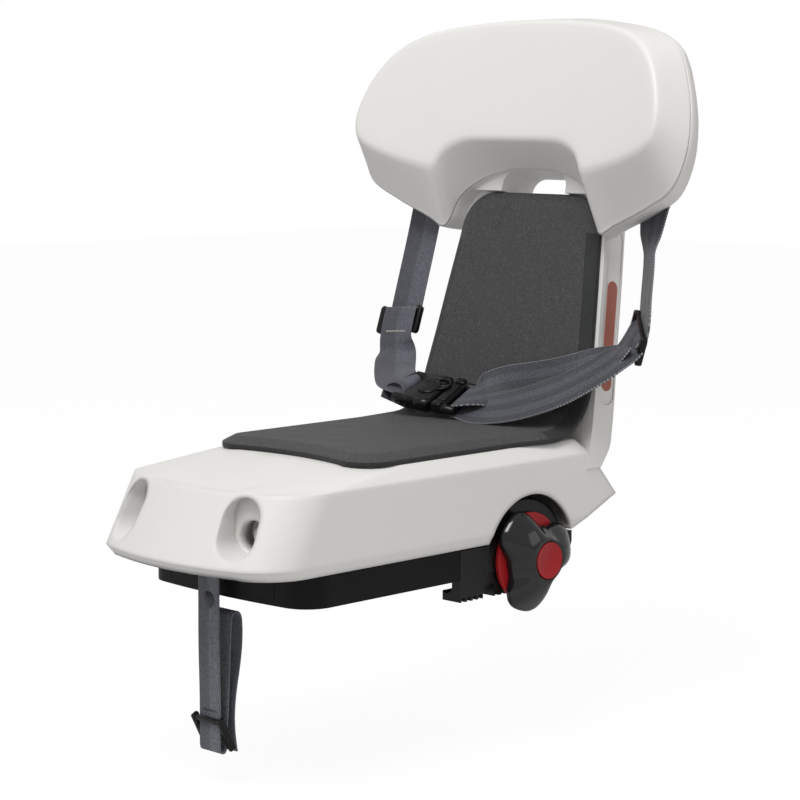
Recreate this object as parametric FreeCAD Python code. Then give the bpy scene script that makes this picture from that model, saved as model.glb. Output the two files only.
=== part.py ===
import FreeCAD, Part
import math
import os

Vec = FreeCAD.Vector

# Driving dimensions in millimetres. +Z is up, -Y is the way the child faces, +X is the child's left.
# The origin is the middle of the tray's underside, where it rests on the rack.

# Moulded seat shell
SHELL_WALL = 3.5
SHELL_HALF = 107.0
SHELL_FRONT = -222.0
SHELL_REAR = 205.0
SHELL_BOTTOM_Z = 28.0
SHELL_TUCK_Z = 36.0
SHELL_TUCK = 7.0
SHELL_CREASE_Z = 92.0
SHELL_RAKE = 30.0
SHELL_TOP_Z = 104.0
SHELL_TOP_HALF = 97.0
SHELL_TOP_FRONT = -92.0
SHELL_BOW_R = 260.0
SHELL_CORNER_R = 45.0
FIN_TOP_Y = 160.0
FIN_TIP_Z = 53.0
FIN_ROOT_Y = 149.0
ARCH_R = 54.0

# Bolt pockets in the front of the shell
POCKET_X = 66.0
POCKET_Z = 66.0
POCKET_TURN = 15.0
POCKET_WIDTH = 34.0
POCKET_HEIGHT = 47.0
POCKET_DEPTH = 40.0
POCKET_WALL = 3.0
BOLT_R = 4.0
BOLT_HEAD_R = 10.0
BOLT_HEAD = 6.0
BOLT_DROP = 9.0

# Backrest lean and the line where the pad's two faces meet
LEAN = 13.5
HINGE_Y = 163.0
HINGE_Z = 114.0

# Pad
PAD_THICK = 10.0
PAD_HALF = 96.0
PAD_FRONT = -88.0
PAD_HOLLOW = 10.0
PAD_CORNER_R = 28.0
PAD_BEND_R = 45.0
PAD_TOP = 204.0
PAD_TOP_R = 36.0
PAD_MARGIN = 3.5
PAD_RIM = 4.5
PAD_BEVEL = 11.0
PAD_FLARE_Y = 80.0
PAD_FLARE = 6.5
PAD_BEND_STEPS = 9
PAD_FRONT_END = -40.0
PAD_TOP_START = 140.0

# Column of the backrest
COLUMN_SIDE = [(-60, 107.5), (0, 106.5), (34, 103), (74, 97.5), (117, 92.5), (167, 86), (215, 80), (300, 74)]
COLUMN_DEPTH = 34.0
COLUMN_COVER = 9.0
COLUMN_WALL = 3.0
COLUMN_ROUND = 11.0
COLUMN_TOP = 296.0
COLUMN_HEEL = [(207.0, 107.0), (183.0, 78.0)]
PANEL_SINK = 1.2
PANEL_Z = (24.0, 178.0)
BADGE_Z = (36.0, 132.0)
BADGE_WIDTH = 12.5
BADGE_THICK = 0.8

# Headrest: outline of the front face and of the parting line, right half from the top round to the notch
FACE_OUTLINE = [(0, 351), (40, 350), (84, 345), (118, 337), (146, 321), (165, 298), (176, 270), (177, 249),
                (167, 235), (135, 224), (104, 218), (90, 217), (84.5, 223), (79, 231), (69, 238), (53, 242.8),
                (24, 243.6), (0, 243.6)]
PART_OUTLINE = [(0, 362), (40, 361), (85, 355), (126, 346), (156, 331), (175, 302), (188, 269), (191, 236),
                (179, 206), (150, 190), (112, 175), (95, 167), (87, 176), (81, 194), (68, 207), (49, 217),
                (23, 223.5), (0, 224)]
FACE_Y = -37.0
HEAD_DEPTH = 37.0
HEAD_SCOOP_R = 671.0
HEAD_WALL = 3.0
HEAD_EDGE_R = 5.0
COVER_DEPTH = 53.0
COVER_INSET = 13.0
COVER_BOTTOM_Z = 165.0
COVER_EDGE_R = 14.0

# Grab opening under the headrest
GRAB_HALF = 38.0
GRAB_Z = (188.0, 224.0)
GRAB_R = 15.0

# Base tray
TRAY_HALF = 98.0
TRAY_FRONT = -160.0
TRAY_REAR = 157.0
TRAY_WALL = 3.0
TRAY_FLOOR = 4.0
TRAY_TOP_Z = 39.0
TRAY_CORNER_R = 26.0
TRAY_PANEL_HALF = 63.0
TRAY_STEP = 2.0
TRAY_FACE_HALF = 74.0
POST_X = 60.0
POST_Y = (-70.0, 18.0)
POST_R = 8.0

# Rack clamp
KNOB_Y = 96.0
KNOB_Z = 10.5
JAW_FRONT = 17.5
JAW_THICK = 8.0
JAW_TOP_Z = 25.0
JAW_LOW_Z = -8.0
JAW_REAR_Z = 8.0
JAW_GAP = 0.5
DOME_R = 50.0
FOOT_Z = -18.5
FOOT_TIP_X = 77.5
FEET = [(17.5, 45.0), (58.0, 112.0)]
RAIL_R = 6.2
RAIL_X = 82.0
SLOT_WIDTH = 4.0
SLOT_DEPTH = 3.5
SCREW_R = 5.0
GUIDE_R = 4.0
GUIDE_Y = (36.0, 136.0)
GUIDE_Z = 15.0
TRAVEL = 12.0

# Knob
FLANGE_R = 38.0
FLANGE_THICK = 4.5
KNOB_GAP = 0.4
KNOB_TIP_R = 46.0
KNOB_VALLEY_R = 27.0
KNOB_THICK = 23.0
KNOB_PHASE = 15.0
CAP_R = 15.5

# Steel bracket inside the backrest
BRACKET_HALF = 30.0
BRACKET_Y = 18.0
BRACKET_THICK = 4.0
BRACKET_FOOT_Y = 100.0
BRACKET_FOOT_Z = 60.0
BRACKET_TOP = 168.0
FOOT_POSTS = [(20.0, 110.0), (20.0, 134.0)]
COLUMN_SCREWS = [(18.0, 50.0), (18.0, 150.0)]

# Webbing
WEB_WIDTH = 38.0
WEB_THICK = 1.6
WEB_STEPS = 6
STRAP_X = 135.0
STRAP_Y = 11.0
STRAP_EXIT_Z = 178.0
ANCHOR_Z = 216.0
ANCHOR_R = 4.0
RIGHT_SLIDE_AT = (-126.0, 174.0, 192.0)
LEFT_SLIDE_AT = (131.0, 203.0, 191.0)
SLIDE_PITCH = 11.5
SLIDE_BAR = 4.5
SLIDE_THICK = 3.0
SLIDE_SIDE = 3.6
SLIDE_PLAY = 1.1
TETHER_WIDTH = 25.0
TETHER_Y = -170.8
TETHER_TOP_Z = 54.0
TETHER_LOW_Z = -112.0
TETHER_SCREW_R = 5.0
TETHER_SCREW_Z = 43.0
SNAP_R = 5.5
SNAP_THICK = 2.0
SNAP_Z = -2.0
GLIDE_PITCH = 8.0
GLIDE_BAR = 3.0
GLIDE_ALONG = (0.0, 0.35, 1.0)

# Buckle, lying in the bend of the pad
BUCKLE_AT = (-45.0, 134.0, 133.0)
BUCKLE_AXIS = (0.96, 0.2, -0.12)
BUCKLE_UP = (0.08, -0.38, 0.92)
BUCKLE_GAP = 0.3
BUCKLE_ARM = 3.2
BAR_R = 2.0
BAR_OUT = 8.0
MOUTH_AT = 8.0
SOCKET_LONG = 29.0
SOCKET_THICK = 13.0
PLUG_LONG = 15.0
PLUG_THICK = 9.0
PRONG_LONG = 24.0
PRONG_HALF = 19.0
PRONG_THICK = 6.0

FAR = 400.0
FAR_STEP = 1000


def box(x0, x1, y0, y1, z0, z1):
    return Part.makeBox(x1 - x0, y1 - y0, z1 - z0, Vec(x0, y0, z0))


def rod(radius, start, direction, length):
    return Part.makeCylinder(radius, length, Vec(*start), Vec(*direction))


def polygon(points):
    points = [Vec(*p) for p in points]
    return Part.makePolygon(points + points[:1])


def prism(wire, along):
    return Part.Face(wire).extrude(Vec(*along))


def mirrored(shape):
    return shape.mirror(Vec(0, 0, 0), Vec(1, 0, 0))


def both_sides(shape):
    return Part.makeCompound([shape, mirrored(shape)])


def joined(first, *rest):
    return first.fuse(list(rest)).removeSplitter()


def solid_of(shape):
    return max(shape.Solids, key=lambda s: s.Volume)


def softened(shape, radius, chosen):
    """Rounds the chosen edges, as far down as half the radius if the full one does not fit."""
    edges = [e for e in shape.Edges if chosen(e)]
    for share in (1.0, 0.75, 0.5):
        try:
            done = shape.makeFillet(radius * share, edges)
        except Part.OCCError:
            continue
        if done.isValid() and done.Volume > 0:
            return done
    return shape


def lean(shape):
    """Takes a shape built upright, with the pad's face at y = 0, to the leaning backrest."""
    tilted = shape.copy()
    tilted.rotate(Vec(0, 0, 0), Vec(1, 0, 0), -LEAN)
    tilted.translate(Vec(0, HINGE_Y, HINGE_Z))
    return tilted


def leaned(x, y, z):
    c = math.cos(math.radians(LEAN))
    s = math.sin(math.radians(LEAN))
    return Vec(x, HINGE_Y + y * c + z * s, HINGE_Z - y * s + z * c)


# Seat shell


def plan_wire(z, front, half, rear, bow, corner):
    """A plan outline with a bowed front and round front corners, tangent all the way."""
    cx = half - corner
    rise = math.sqrt((bow - corner) ** 2 - cx ** 2)
    cy = front + bow - rise
    tx = cx * bow / (bow - corner)
    ty = front + bow - rise * bow / (bow - corner)
    mid = math.radians(0.5 * math.degrees(math.atan2(ty - cy, tx - cx)))
    mx = cx + corner * math.cos(mid)
    my = cy + corner * math.sin(mid)
    edges = [
        Part.Arc(Vec(-tx, ty, z), Vec(0, front, z), Vec(tx, ty, z)).toShape(),
        Part.Arc(Vec(tx, ty, z), Vec(mx, my, z), Vec(half, cy, z)).toShape(),
        Part.makeLine(Vec(half, cy, z), Vec(half, rear, z)),
        Part.makeLine(Vec(half, rear, z), Vec(-half, rear, z)),
        Part.makeLine(Vec(-half, rear, z), Vec(-half, cy, z)),
        Part.Arc(Vec(-half, cy, z), Vec(-mx, my, z), Vec(-tx, ty, z)).toShape(),
    ]
    return Part.Wire(edges)


def shell_body(inset):
    """The shell's outside, or with an inset its inside."""
    rear = SHELL_REAR + 20
    low = SHELL_BOTTOM_Z - 3 * inset
    wires = [
        plan_wire(low, SHELL_FRONT + SHELL_TUCK + inset, SHELL_HALF - 2 - inset, rear, SHELL_BOW_R, SHELL_CORNER_R),
        plan_wire(SHELL_TUCK_Z, SHELL_FRONT + inset, SHELL_HALF - inset, rear, SHELL_BOW_R, SHELL_CORNER_R),
        plan_wire(SHELL_CREASE_Z - 0.4 * inset, SHELL_FRONT + SHELL_RAKE + inset, SHELL_HALF - inset, rear,
                  SHELL_BOW_R, SHELL_CORNER_R),
        plan_wire(SHELL_TOP_Z - inset, SHELL_TOP_FRONT + inset, SHELL_TOP_HALF - 0.5 * inset, rear,
                  SHELL_BOW_R, SHELL_CORNER_R),
    ]
    body = Part.makeLoft(wires, True, True)
    slope = (SHELL_REAR - FIN_TOP_Y) / (SHELL_TOP_Z - FIN_TIP_Z)
    side = [
        (0, -FAR, low - 1),
        (0, FIN_ROOT_Y - inset, low - 1),
        (0, FIN_ROOT_Y - inset, SHELL_BOTTOM_Z + inset),
        (0, SHELL_REAR - 1.6 * inset, FIN_TIP_Z + 0.4 * inset),
        (0, FIN_TOP_Y - 1.6 * inset - slope * 40, SHELL_TOP_Z + 40),
        (0, -FAR, SHELL_TOP_Z + 40),
    ]
    keep = prism(polygon(side), (2 * FAR, 0, 0))
    keep.translate(Vec(-FAR, 0, 0))
    return body.common(keep)


def on_height(low, high):
    return lambda e: low < e.BoundBox.ZMin and e.BoundBox.ZMax < high


def pocket_frame(shape):
    """Turns a shape built along +Y at the origin into the pocket on the +X side."""
    turned = shape.copy()
    turned.rotate(Vec(0, 0, 0), Vec(0, 0, 1), POCKET_TURN)
    share = (POCKET_Z - SHELL_TUCK_Z) / (SHELL_CREASE_Z - SHELL_TUCK_Z)
    bow = SHELL_BOW_R - math.sqrt(SHELL_BOW_R ** 2 - POCKET_X ** 2)
    turned.translate(Vec(POCKET_X, SHELL_FRONT + SHELL_RAKE * share + bow, POCKET_Z))
    return turned


def pocket_prism(grow, start, depth):
    r = POCKET_WIDTH / 2 + grow
    h = (POCKET_HEIGHT - POCKET_WIDTH) / 2
    body = box(-r, r, start, depth, -h, h)
    caps = [rod(r, (0, start, s * h), (0, 1, 0), depth - start) for s in (-1, 1)]
    return body.fuse(caps).removeSplitter()


outer = shell_body(0.0)
outer = softened(outer, 9.0, on_height(SHELL_CREASE_Z - 1, SHELL_CREASE_Z + 1))
shell = outer.cut(shell_body(SHELL_WALL))
sleeve = both_sides(pocket_frame(pocket_prism(POCKET_WALL, -30, POCKET_DEPTH + POCKET_WALL)))
shell = shell.fuse(sleeve.common(outer))
shell = shell.cut(both_sides(pocket_frame(pocket_prism(0, -40, POCKET_DEPTH))))
bolt_hole = pocket_frame(rod(BOLT_R, (0, 0, -BOLT_DROP), (0, 1, 0), POCKET_DEPTH + 2 * POCKET_WALL))
shell = shell.cut(both_sides(bolt_hole))
shell = shell.cut(rod(ARCH_R, (-FAR, KNOB_Y, KNOB_Z), (1, 0, 0), 2 * FAR))
shell = shell.cut(box(-BRACKET_HALF - 2, BRACKET_HALF + 2, 170, 184, 76, 98))
shell = solid_of(shell)


# Backrest column


def side_wire(y, offset, low, high):
    """The column's outline seen from the front, at depth y."""
    right = [Vec(half + offset, y, z) for z, half in COLUMN_SIDE]
    left = [Vec(-p.x, y, p.z) for p in reversed(right)]
    edges = []
    for points in (right, left):
        curve = Part.BSplineCurve()
        curve.interpolate(points)
        edges.append(curve.toShape())
    ends = [edges[0].Vertexes[0].Point, edges[0].Vertexes[-1].Point]
    edges.insert(1, Part.makeLine(ends[1], Vec(-ends[1].x, y, ends[1].z)))
    edges.append(Part.makeLine(Vec(-ends[0].x, y, ends[0].z), ends[0]))
    whole = Part.Face(Part.Wire(edges))
    band = box(-FAR, FAR, y - 1, y + 1, low, high)
    return whole.common(band).Faces[0].OuterWire


def column_prism(y0, y1, offset, low=-58.0, high=COLUMN_TOP):
    return prism(side_wire(y0, offset, low, high), (0, y1 - y0, 0))


def column_heel():
    """What is left of the column's lower end, cut along the heel."""
    (y1, z1), (y2, z2) = COLUMN_HEEL
    points = [(-FAR, y, z) for y, z in
              ((-FAR, 2 * FAR), (2 * FAR, 2 * FAR), (y1 + 6 * (y1 - y2), z1 + 6 * (z1 - z2)), (y2, z2), (-FAR, z2))]
    return prism(polygon(points), (2 * FAR, 0, 0))


def rear_edges(y):
    return lambda e: abs(e.BoundBox.YMin - y) < 0.01 and abs(e.BoundBox.YMax - y) < 0.01 and e.BoundBox.ZLength > 100


def grab_prism(grow, y0, y1):
    r = GRAB_R
    low, high = GRAB_Z[0] - grow, GRAB_Z[1] + grow
    half = GRAB_HALF + grow
    lump = box(-half, half, y0, y1, low, high)
    return softened(lump, r, lambda e: e.BoundBox.YLength > 1 and e.BoundBox.ZLength < 0.01 and e.BoundBox.XLength < 0.01)


def capsule(y, z0, z1, width, x0, x1):
    r = width / 2
    body = box(x0, x1, y - r, y + r, z0 + r, z1 - r)
    caps = [rod(r, (x0, y, z), (1, 0, 0), x1 - x0) for z in (z0 + r, z1 - r)]
    return body.fuse(caps).removeSplitter()


PAD_BACK = PAD_THICK
COLUMN_BACK = PAD_BACK + COLUMN_DEPTH
COLUMN_SEAM = COLUMN_BACK - COLUMN_COVER
column_outside = softened(column_prism(PAD_BACK, COLUMN_BACK, 0.0), COLUMN_ROUND, rear_edges(COLUMN_BACK))
neck = box(-78, 78, 2.2, PAD_BACK, PAD_TOP + 0.5, COLUMN_TOP)
column_inside = column_prism(PAD_BACK + COLUMN_WALL, COLUMN_BACK - COLUMN_WALL, -COLUMN_WALL, -58, COLUMN_TOP - 3)
column_inside = softened(column_inside, COLUMN_ROUND - COLUMN_WALL, rear_edges(COLUMN_BACK - COLUMN_WALL))
column_inside = column_inside.cut(box(-45, 45, 0, FAR, GRAB_Z[0] - 4, GRAB_Z[1] + 4))
panel_mid = PAD_BACK + 0.45 * COLUMN_DEPTH
panel = capsule(panel_mid, PANEL_Z[0], PANEL_Z[1], 20.0, 60, 140)
sink = panel.cut(column_prism(0, 60, -PANEL_SINK))
badge = capsule(panel_mid, BADGE_Z[0], BADGE_Z[1], BADGE_WIDTH, 60, 140)
badge = badge.common(column_prism(0, 60, BADGE_THICK - PANEL_SINK)).cut(column_prism(0, 60, -PANEL_SINK))

column_all = column_outside.fuse(neck).cut(column_inside).cut(both_sides(sink)).cut(grab_prism(0, -9, 90))


def at_column_screws(radius, y0, y1):
    return Part.makeCompound([rod(radius, (s * x, y0, z), (0, 1, 0), y1 - y0) for x, z in COLUMN_SCREWS for s in (-1, 1)])


SCREW_Y = BRACKET_Y + BRACKET_THICK
column_all = column_all.fuse(at_column_screws(6.0, PAD_BACK + 1, BRACKET_Y))
column_all = column_all.fuse(at_column_screws(7.5, SCREW_Y, COLUMN_BACK - 1))
column_all = column_all.cut(at_column_screws(2.5, BRACKET_Y - 5, FAR)).cut(at_column_screws(5.0, SCREW_Y + 6, FAR))
column_screws = at_column_screws(2.5, BRACKET_Y - 5, SCREW_Y + 6).fuse(at_column_screws(4.6, SCREW_Y + 6, SCREW_Y + 9))
column_screws = lean(column_screws)
seam = box(-FAR, FAR, -FAR, COLUMN_SEAM, -FAR, FAR)
heel = column_heel()
column = solid_of(lean(column_all.common(seam)).common(heel).cut(outer))
column_cover = solid_of(lean(column_all.cut(seam)).common(heel).cut(outer))
badge = solid_of(lean(badge))


# Headrest


def scoop(offset, front):
    """What lies in front of, or behind, the headrest's scooped face moved back by an offset."""
    y = FACE_Y + offset
    cylinder = rod(HEAD_SCOOP_R, (0, y - HEAD_SCOOP_R, 0), (0, 0, 1), 2 * FAR)
    return cylinder if front else box(-FAR, FAR, -FAR, FAR, 0, 2 * FAR).cut(cylinder)


def scoop_rise(x):
    return HEAD_SCOOP_R - math.sqrt(HEAD_SCOOP_R ** 2 - x * x)


def inset_outline(points, inset):
    """A closed outline moved inwards."""
    moved = []
    n = len(points)
    for i in range(n):
        (x0, z0), (x1, z1) = points[i - 1], points[(i + 1) % n]
        dx, dz = x1 - x0, z1 - z0
        size = math.hypot(dx, dz)
        moved.append((points[i][0] + inset * dz / size, points[i][1] - inset * dx / size))
    return moved


def whole_outline(half):
    """A right half made into the closed outline, clockwise seen from the front."""
    return half + [(-x, z) for x, z in reversed(half[1:-1])]


def spline_wire(points, y, step):
    """A smooth closed curve through the points, in pieces of step points each."""
    curve = Part.BSplineCurve()
    curve.interpolate([Vec(x, y, z) for x, z in points], True)
    knots = curve.getKnots()
    stops = knots[:-1:step] + knots[-1:]
    return Part.Wire([curve.toShape(a, b) for a, b in zip(stops, stops[1:])])


def headrest_block(first, first_y, second, second_y, inset, y0, y1, step=4):
    """The walls through two outlines, each on its own scooped face, carried on to the flat ends y0 and y1."""
    a = inset_outline(whole_outline(first), inset)
    b = inset_outline(whole_outline(second), inset)
    ends = []
    for y in (y0, y1):
        points = []
        for (xa, za), (xb, zb) in zip(a, b):
            ya = first_y - scoop_rise(xa)
            yb = second_y - scoop_rise(xb)
            t = (y - ya) / (yb - ya)
            points.append((xa + t * (xb - xa), za + t * (zb - za)))
        ends.append(spline_wire(points, y, step))
    return Part.makeLoft(ends, True, True)


def near_scoop(offset):
    """Chooses the edges that lie on the scooped face."""
    def chosen(e):
        at = [e.valueAt(e.FirstParameter + (e.LastParameter - e.FirstParameter) * k / 7) for k in range(8)]
        return all(abs(p.y - (FACE_Y + offset - scoop_rise(p.x))) < 0.05 for p in at)
    return chosen


def front_block(inset, step=4):
    block = headrest_block(FACE_OUTLINE, FACE_Y, PART_OUTLINE, FACE_Y + HEAD_DEPTH, inset, -68.0, 4.0, step)
    return block.cut(scoop(inset, True))


head_front = softened(front_block(0.0, FAR_STEP), HEAD_EDGE_R, near_scoop(0.0))
behind = scoop(HEAD_DEPTH, False)
head_front = head_front.cut(behind)
head_shell = head_front.cut(front_block(HEAD_WALL))


REAR_HALF = PART_OUTLINE[:11] + [(92, COVER_BOTTOM_Z + 2), (50, COVER_BOTTOM_Z), (0, COVER_BOTTOM_Z)]
REAR_INNER = inset_outline(whole_outline(REAR_HALF), COVER_INSET)[:len(REAR_HALF)]
COVER_Y = FACE_Y + HEAD_DEPTH + COVER_DEPTH
SCREWS = [(150, 240), (108, 322)]
SCREW_SEAT_Y = 10.0


def cover_block(inset):
    block = headrest_block(REAR_HALF, FACE_Y + HEAD_DEPTH, REAR_INNER, COVER_Y, inset, -42.0, 60.0)
    block = block.cut(scoop(HEAD_DEPTH + COVER_DEPTH - inset, False))
    if inset == 0:
        block = softened(block, COVER_EDGE_R, near_scoop(HEAD_DEPTH + COVER_DEPTH))
    return block.cut(scoop(HEAD_DEPTH, True))


def at_screws(radius, y0, y1):
    return Part.makeCompound([rod(radius, (s * x, y0, z), (0, 1, 0), y1 - y0) for x, z in SCREWS for s in (-1, 1)])


cover_outside = cover_block(0.0)
cover = cover_outside.cut(cover_block(HEAD_WALL))
cover = cover.fuse(at_screws(8.5, SCREW_SEAT_Y, 60).cut(scoop(HEAD_DEPTH + COVER_DEPTH, False)))
cover = cover.cut(at_screws(5.5, SCREW_SEAT_Y + HEAD_WALL, 80)).cut(at_screws(2.0, 0, 40))
cover = cover.cut(column_prism(-90, COLUMN_BACK, 0.0, 100.0, 240.0)).cut(column_outside)
cover = cover.cut(grab_prism(0, -9, 90))
cover = cover.cut(both_sides(box(STRAP_X - 21, STRAP_X + 21, STRAP_Y - 3, STRAP_Y + 3, 140, 212)))
headrest_cover = solid_of(lean(cover))
bosses = at_screws(6.0, FACE_Y - 22, SCREW_SEAT_Y).cut(scoop(1.0, True))
head_shell = head_shell.fuse(bosses).cut(at_screws(2.0, -16, 40))
headrest_front = solid_of(lean(head_shell))
screw_heads = at_screws(4.6, SCREW_SEAT_Y + HEAD_WALL, SCREW_SEAT_Y + HEAD_WALL + 3.2)
headrest_screws = lean(screw_heads.fuse(at_screws(2.0, -16, SCREW_SEAT_Y + HEAD_WALL)))
anchor = rod(ANCHOR_R, (STRAP_X - 24, STRAP_Y, ANCHOR_Z), (1, 0, 0), 48)


# Pad


def back_half(z):
    """Half the pad's width on the backrest, a margin inside the column."""
    for (z0, half0), (z1, half1) in zip(COLUMN_SIDE, COLUMN_SIDE[1:]):
        if z <= z1:
            return half0 + (half1 - half0) * (z - z0) / (z1 - z0) - PAD_MARGIN
    return COLUMN_SIDE[-1][1] - PAD_MARGIN


def pad_section(half, at, up):
    """The pad across its width: low rim, bevel and plateau."""
    inner = half - PAD_BEVEL
    side = [(half, 0), (half, PAD_RIM), (inner, PAD_THICK)]
    outline = side + [(-x, h) for x, h in reversed(side)]
    return polygon([at + Vec(x, 0, 0) + up * h for x, h in outline])


def pad_sections():
    """Sections from the front part, round the bend and up to the top part."""
    turn = 90.0 - LEAN
    reach = PAD_BEND_R * math.tan(math.radians(turn / 2))
    bend_y = HINGE_Y - reach
    bend = Vec(0, bend_y, HINGE_Z + PAD_BEND_R)
    up = Vec(0, 0, 1)
    low = HINGE_Z - PAD_THICK
    wires = [pad_section(PAD_HALF, Vec(0, y, low), up) for y in (PAD_FRONT_END, PAD_FLARE_Y)]
    first, last = PAD_HALF + PAD_FLARE, back_half(reach)
    for k in range(PAD_BEND_STEPS + 1):
        share = k / PAD_BEND_STEPS
        angle = math.radians(turn * share)
        inward = Vec(0, -math.sin(angle), math.cos(angle))
        wires.append(pad_section(first + (last - first) * share, bend - inward * (PAD_BEND_R + PAD_THICK), inward))
    inward = leaned(0, -1, 0) - leaned(0, 0, 0)
    heights = [z for z, half in COLUMN_SIDE if reach + 1 < z < PAD_TOP_START] + [PAD_TOP_START]
    wires += [pad_section(back_half(z), leaned(0, PAD_THICK, z), inward) for z in heights]
    return wires


def rounded_wire(points, radii, place):
    """A closed outline with tangent arcs at the corners that have a radius."""
    edges, starts = [], []
    n = len(points)
    for i in range(n):
        corner = Vec(*points[i], 0)
        back = (Vec(*points[i - 1], 0) - corner).normalize()
        ahead = (Vec(*points[(i + 1) % n], 0) - corner).normalize()
        middle = back + ahead
        if radii[i] == 0:
            starts.append((corner, corner, None))
            continue
        half_angle = back.getAngle(ahead) / 2
        run = radii[i] / math.tan(half_angle)
        peak = corner + middle.normalize() * (radii[i] / math.sin(half_angle) - radii[i])
        starts.append((corner + back * run, corner + ahead * run, peak))
    for i in range(n):
        first, last, peak = starts[i]
        if peak is not None:
            ends = [place(v.x, v.y) for v in (first, peak, last)]
            edges.append(Part.Arc(*ends).toShape())
        edges.append(Part.makeLine(place(last.x, last.y), place(starts[(i + 1) % n][0].x, starts[(i + 1) % n][0].y)))
    return Part.Wire(edges)


def bevelled(wire_at, low, high):
    """A prism from low to the rim's height, then drawn in to the plateau."""
    rim = low + (high - low) * PAD_RIM / PAD_THICK
    straight = Part.makeLoft([wire_at(0, low), wire_at(0, rim)], True, True)
    drawn = Part.makeLoft([wire_at(0, rim), wire_at(PAD_BEVEL, high)], True, True)
    return straight.fuse(drawn)


def front_wire(inset, z):
    """The front of the pad seen from above, with its hollowed edge."""
    half, r, y = PAD_HALF - inset, PAD_CORNER_R - inset, PAD_FRONT + inset
    k = r * (1 - math.sqrt(0.5))
    hollow = Part.Arc(Vec(-half + r, y, z), Vec(0, y + PAD_HOLLOW, z), Vec(half - r, y, z)).toShape()
    right = Part.Arc(Vec(half - r, y, z), Vec(half - k, y + k, z), Vec(half, y + r, z)).toShape()
    left = Part.Arc(Vec(-half, y + r, z), Vec(-half + k, y + k, z), Vec(-half + r, y, z)).toShape()
    sides = [Vec(half, y + r, z), Vec(half, PAD_FRONT_END, z), Vec(-half, PAD_FRONT_END, z), Vec(-half, y + r, z)]
    return Part.Wire([hollow, right] + [Part.makeLine(p, q) for p, q in zip(sides, sides[1:])] + [left])


def top_wire(inset, y):
    """The top of the pad seen from the front, in the upright frame."""
    low, high = PAD_TOP_START, PAD_TOP - inset
    wide, narrow = back_half(low) - inset, back_half(PAD_TOP) - inset
    r = PAD_TOP_R - inset
    points = [(wide, low), (narrow, high), (-narrow, high), (-wide, low)]
    return rounded_wire(points, [0, r, r, 0], lambda x, z: Vec(x, y, z))


front_part = bevelled(front_wire, HINGE_Z - PAD_THICK, HINGE_Z)
top_part = lean(bevelled(top_wire, PAD_THICK, 0.0))
pad = solid_of(joined(Part.makeLoft(pad_sections(), True, True), front_part, top_part))


# Base tray


def tray_front(inset, z0, z1):
    wire = plan_wire(z0, TRAY_FRONT + inset, TRAY_HALF - inset, JAW_FRONT - 0.5 - inset, 700.0, TRAY_CORNER_R - inset)
    return prism(wire, (0, 0, z1 - z0))


def along_x(radius, y, z, x0, x1):
    return rod(radius, (x0, y, z), (1, 0, 0), x1 - x0)


REAR_HALF_X = TRAY_HALF - JAW_THICK - JAW_GAP
REAR_TOP_Z = SHELL_BOTTOM_Z - 2
rear_box = box(-REAR_HALF_X, REAR_HALF_X, JAW_FRONT - 6, TRAY_REAR, 0, REAR_TOP_Z)
rear_room = box(-REAR_HALF_X + TRAY_WALL, REAR_HALF_X - TRAY_WALL, JAW_FRONT - 20, TRAY_REAR - TRAY_WALL, TRAY_FLOOR, FAR)
tray = joined(tray_front(0, 0, TRAY_TOP_Z), rear_box)
tray = tray.cut(tray_front(TRAY_WALL, TRAY_FLOOR, FAR)).cut(rear_room)
tray = tray.cut(both_sides(box(TRAY_FACE_HALF, FAR, JAW_FRONT - 2, FAR, -1, TRAY_STEP)))
panel_window = box(-TRAY_PANEL_HALF, TRAY_PANEL_HALF, -FAR, TRAY_FRONT + 12, TRAY_FLOOR, FAR)
panel_fill = box(-TRAY_PANEL_HALF + 0.6, TRAY_PANEL_HALF - 0.6, -FAR, TRAY_FRONT + 12, TRAY_FLOOR, TRAY_TOP_Z)
front_ring = tray_front(0, 0, TRAY_TOP_Z).cut(tray_front(TRAY_WALL, -1, FAR))
front_panel = front_ring.common(panel_fill)
tab = box(-17, 17, TETHER_Y + WEB_THICK / 2, TRAY_FRONT + 1.5, 30, 54)
front_panel = front_panel.fuse(tab).cut(along_x(0.1, 0, 0, -1, 1))
tray = tray.cut(panel_window)
posts = [rod(POST_R, (s * POST_X, y, TRAY_FLOOR - 1), (0, 0, 1), SHELL_TOP_Z - SHELL_WALL - TRAY_FLOOR + 1)
         for s in (-1, 1) for y in POST_Y]
tower = pocket_frame(box(-11, 11, POCKET_DEPTH + POCKET_WALL, POCKET_DEPTH + POCKET_WALL + 16, 2 - POCKET_Z, 8))
tower = tower.cut(box(-FAR, FAR, -FAR, TRAY_FRONT + 7, -1, TRAY_TOP_Z + 1))
guides = [along_x(GUIDE_R + 3, y, GUIDE_Z, 48, REAR_HALF_X) for y in GUIDE_Y]
ribs = [box(48, REAR_HALF_X - 1, y - 2, y + 2, TRAY_FLOOR - 1, GUIDE_Z) for y in GUIDE_Y]
tray = joined(tray, both_sides(tower), *posts, *guides, *ribs, *[mirrored(g) for g in guides + ribs])
tray = tray.cut(both_sides(pocket_frame(rod(BOLT_R, (0, 0, -BOLT_DROP), (0, 1, 0), POCKET_DEPTH + 14))))
tray = tray.cut(Part.makeCompound([along_x(GUIDE_R + 0.06, y, GUIDE_Z, 40, 120) for y in GUIDE_Y]))
tray = tray.cut(Part.makeCompound([along_x(3.0, y, GUIDE_Z, -120, -60) for y in GUIDE_Y]))
tray = tray.cut(along_x(SCREW_R + 0.4, KNOB_Y, KNOB_Z, -FAR, FAR))
foot_posts = [rod(7.0, (m * x, y, TRAY_FLOOR - 1), (0, 0, 1), BRACKET_FOOT_Z - TRAY_FLOOR + 1) for x, y in FOOT_POSTS for m in (-1, 1)]


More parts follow.
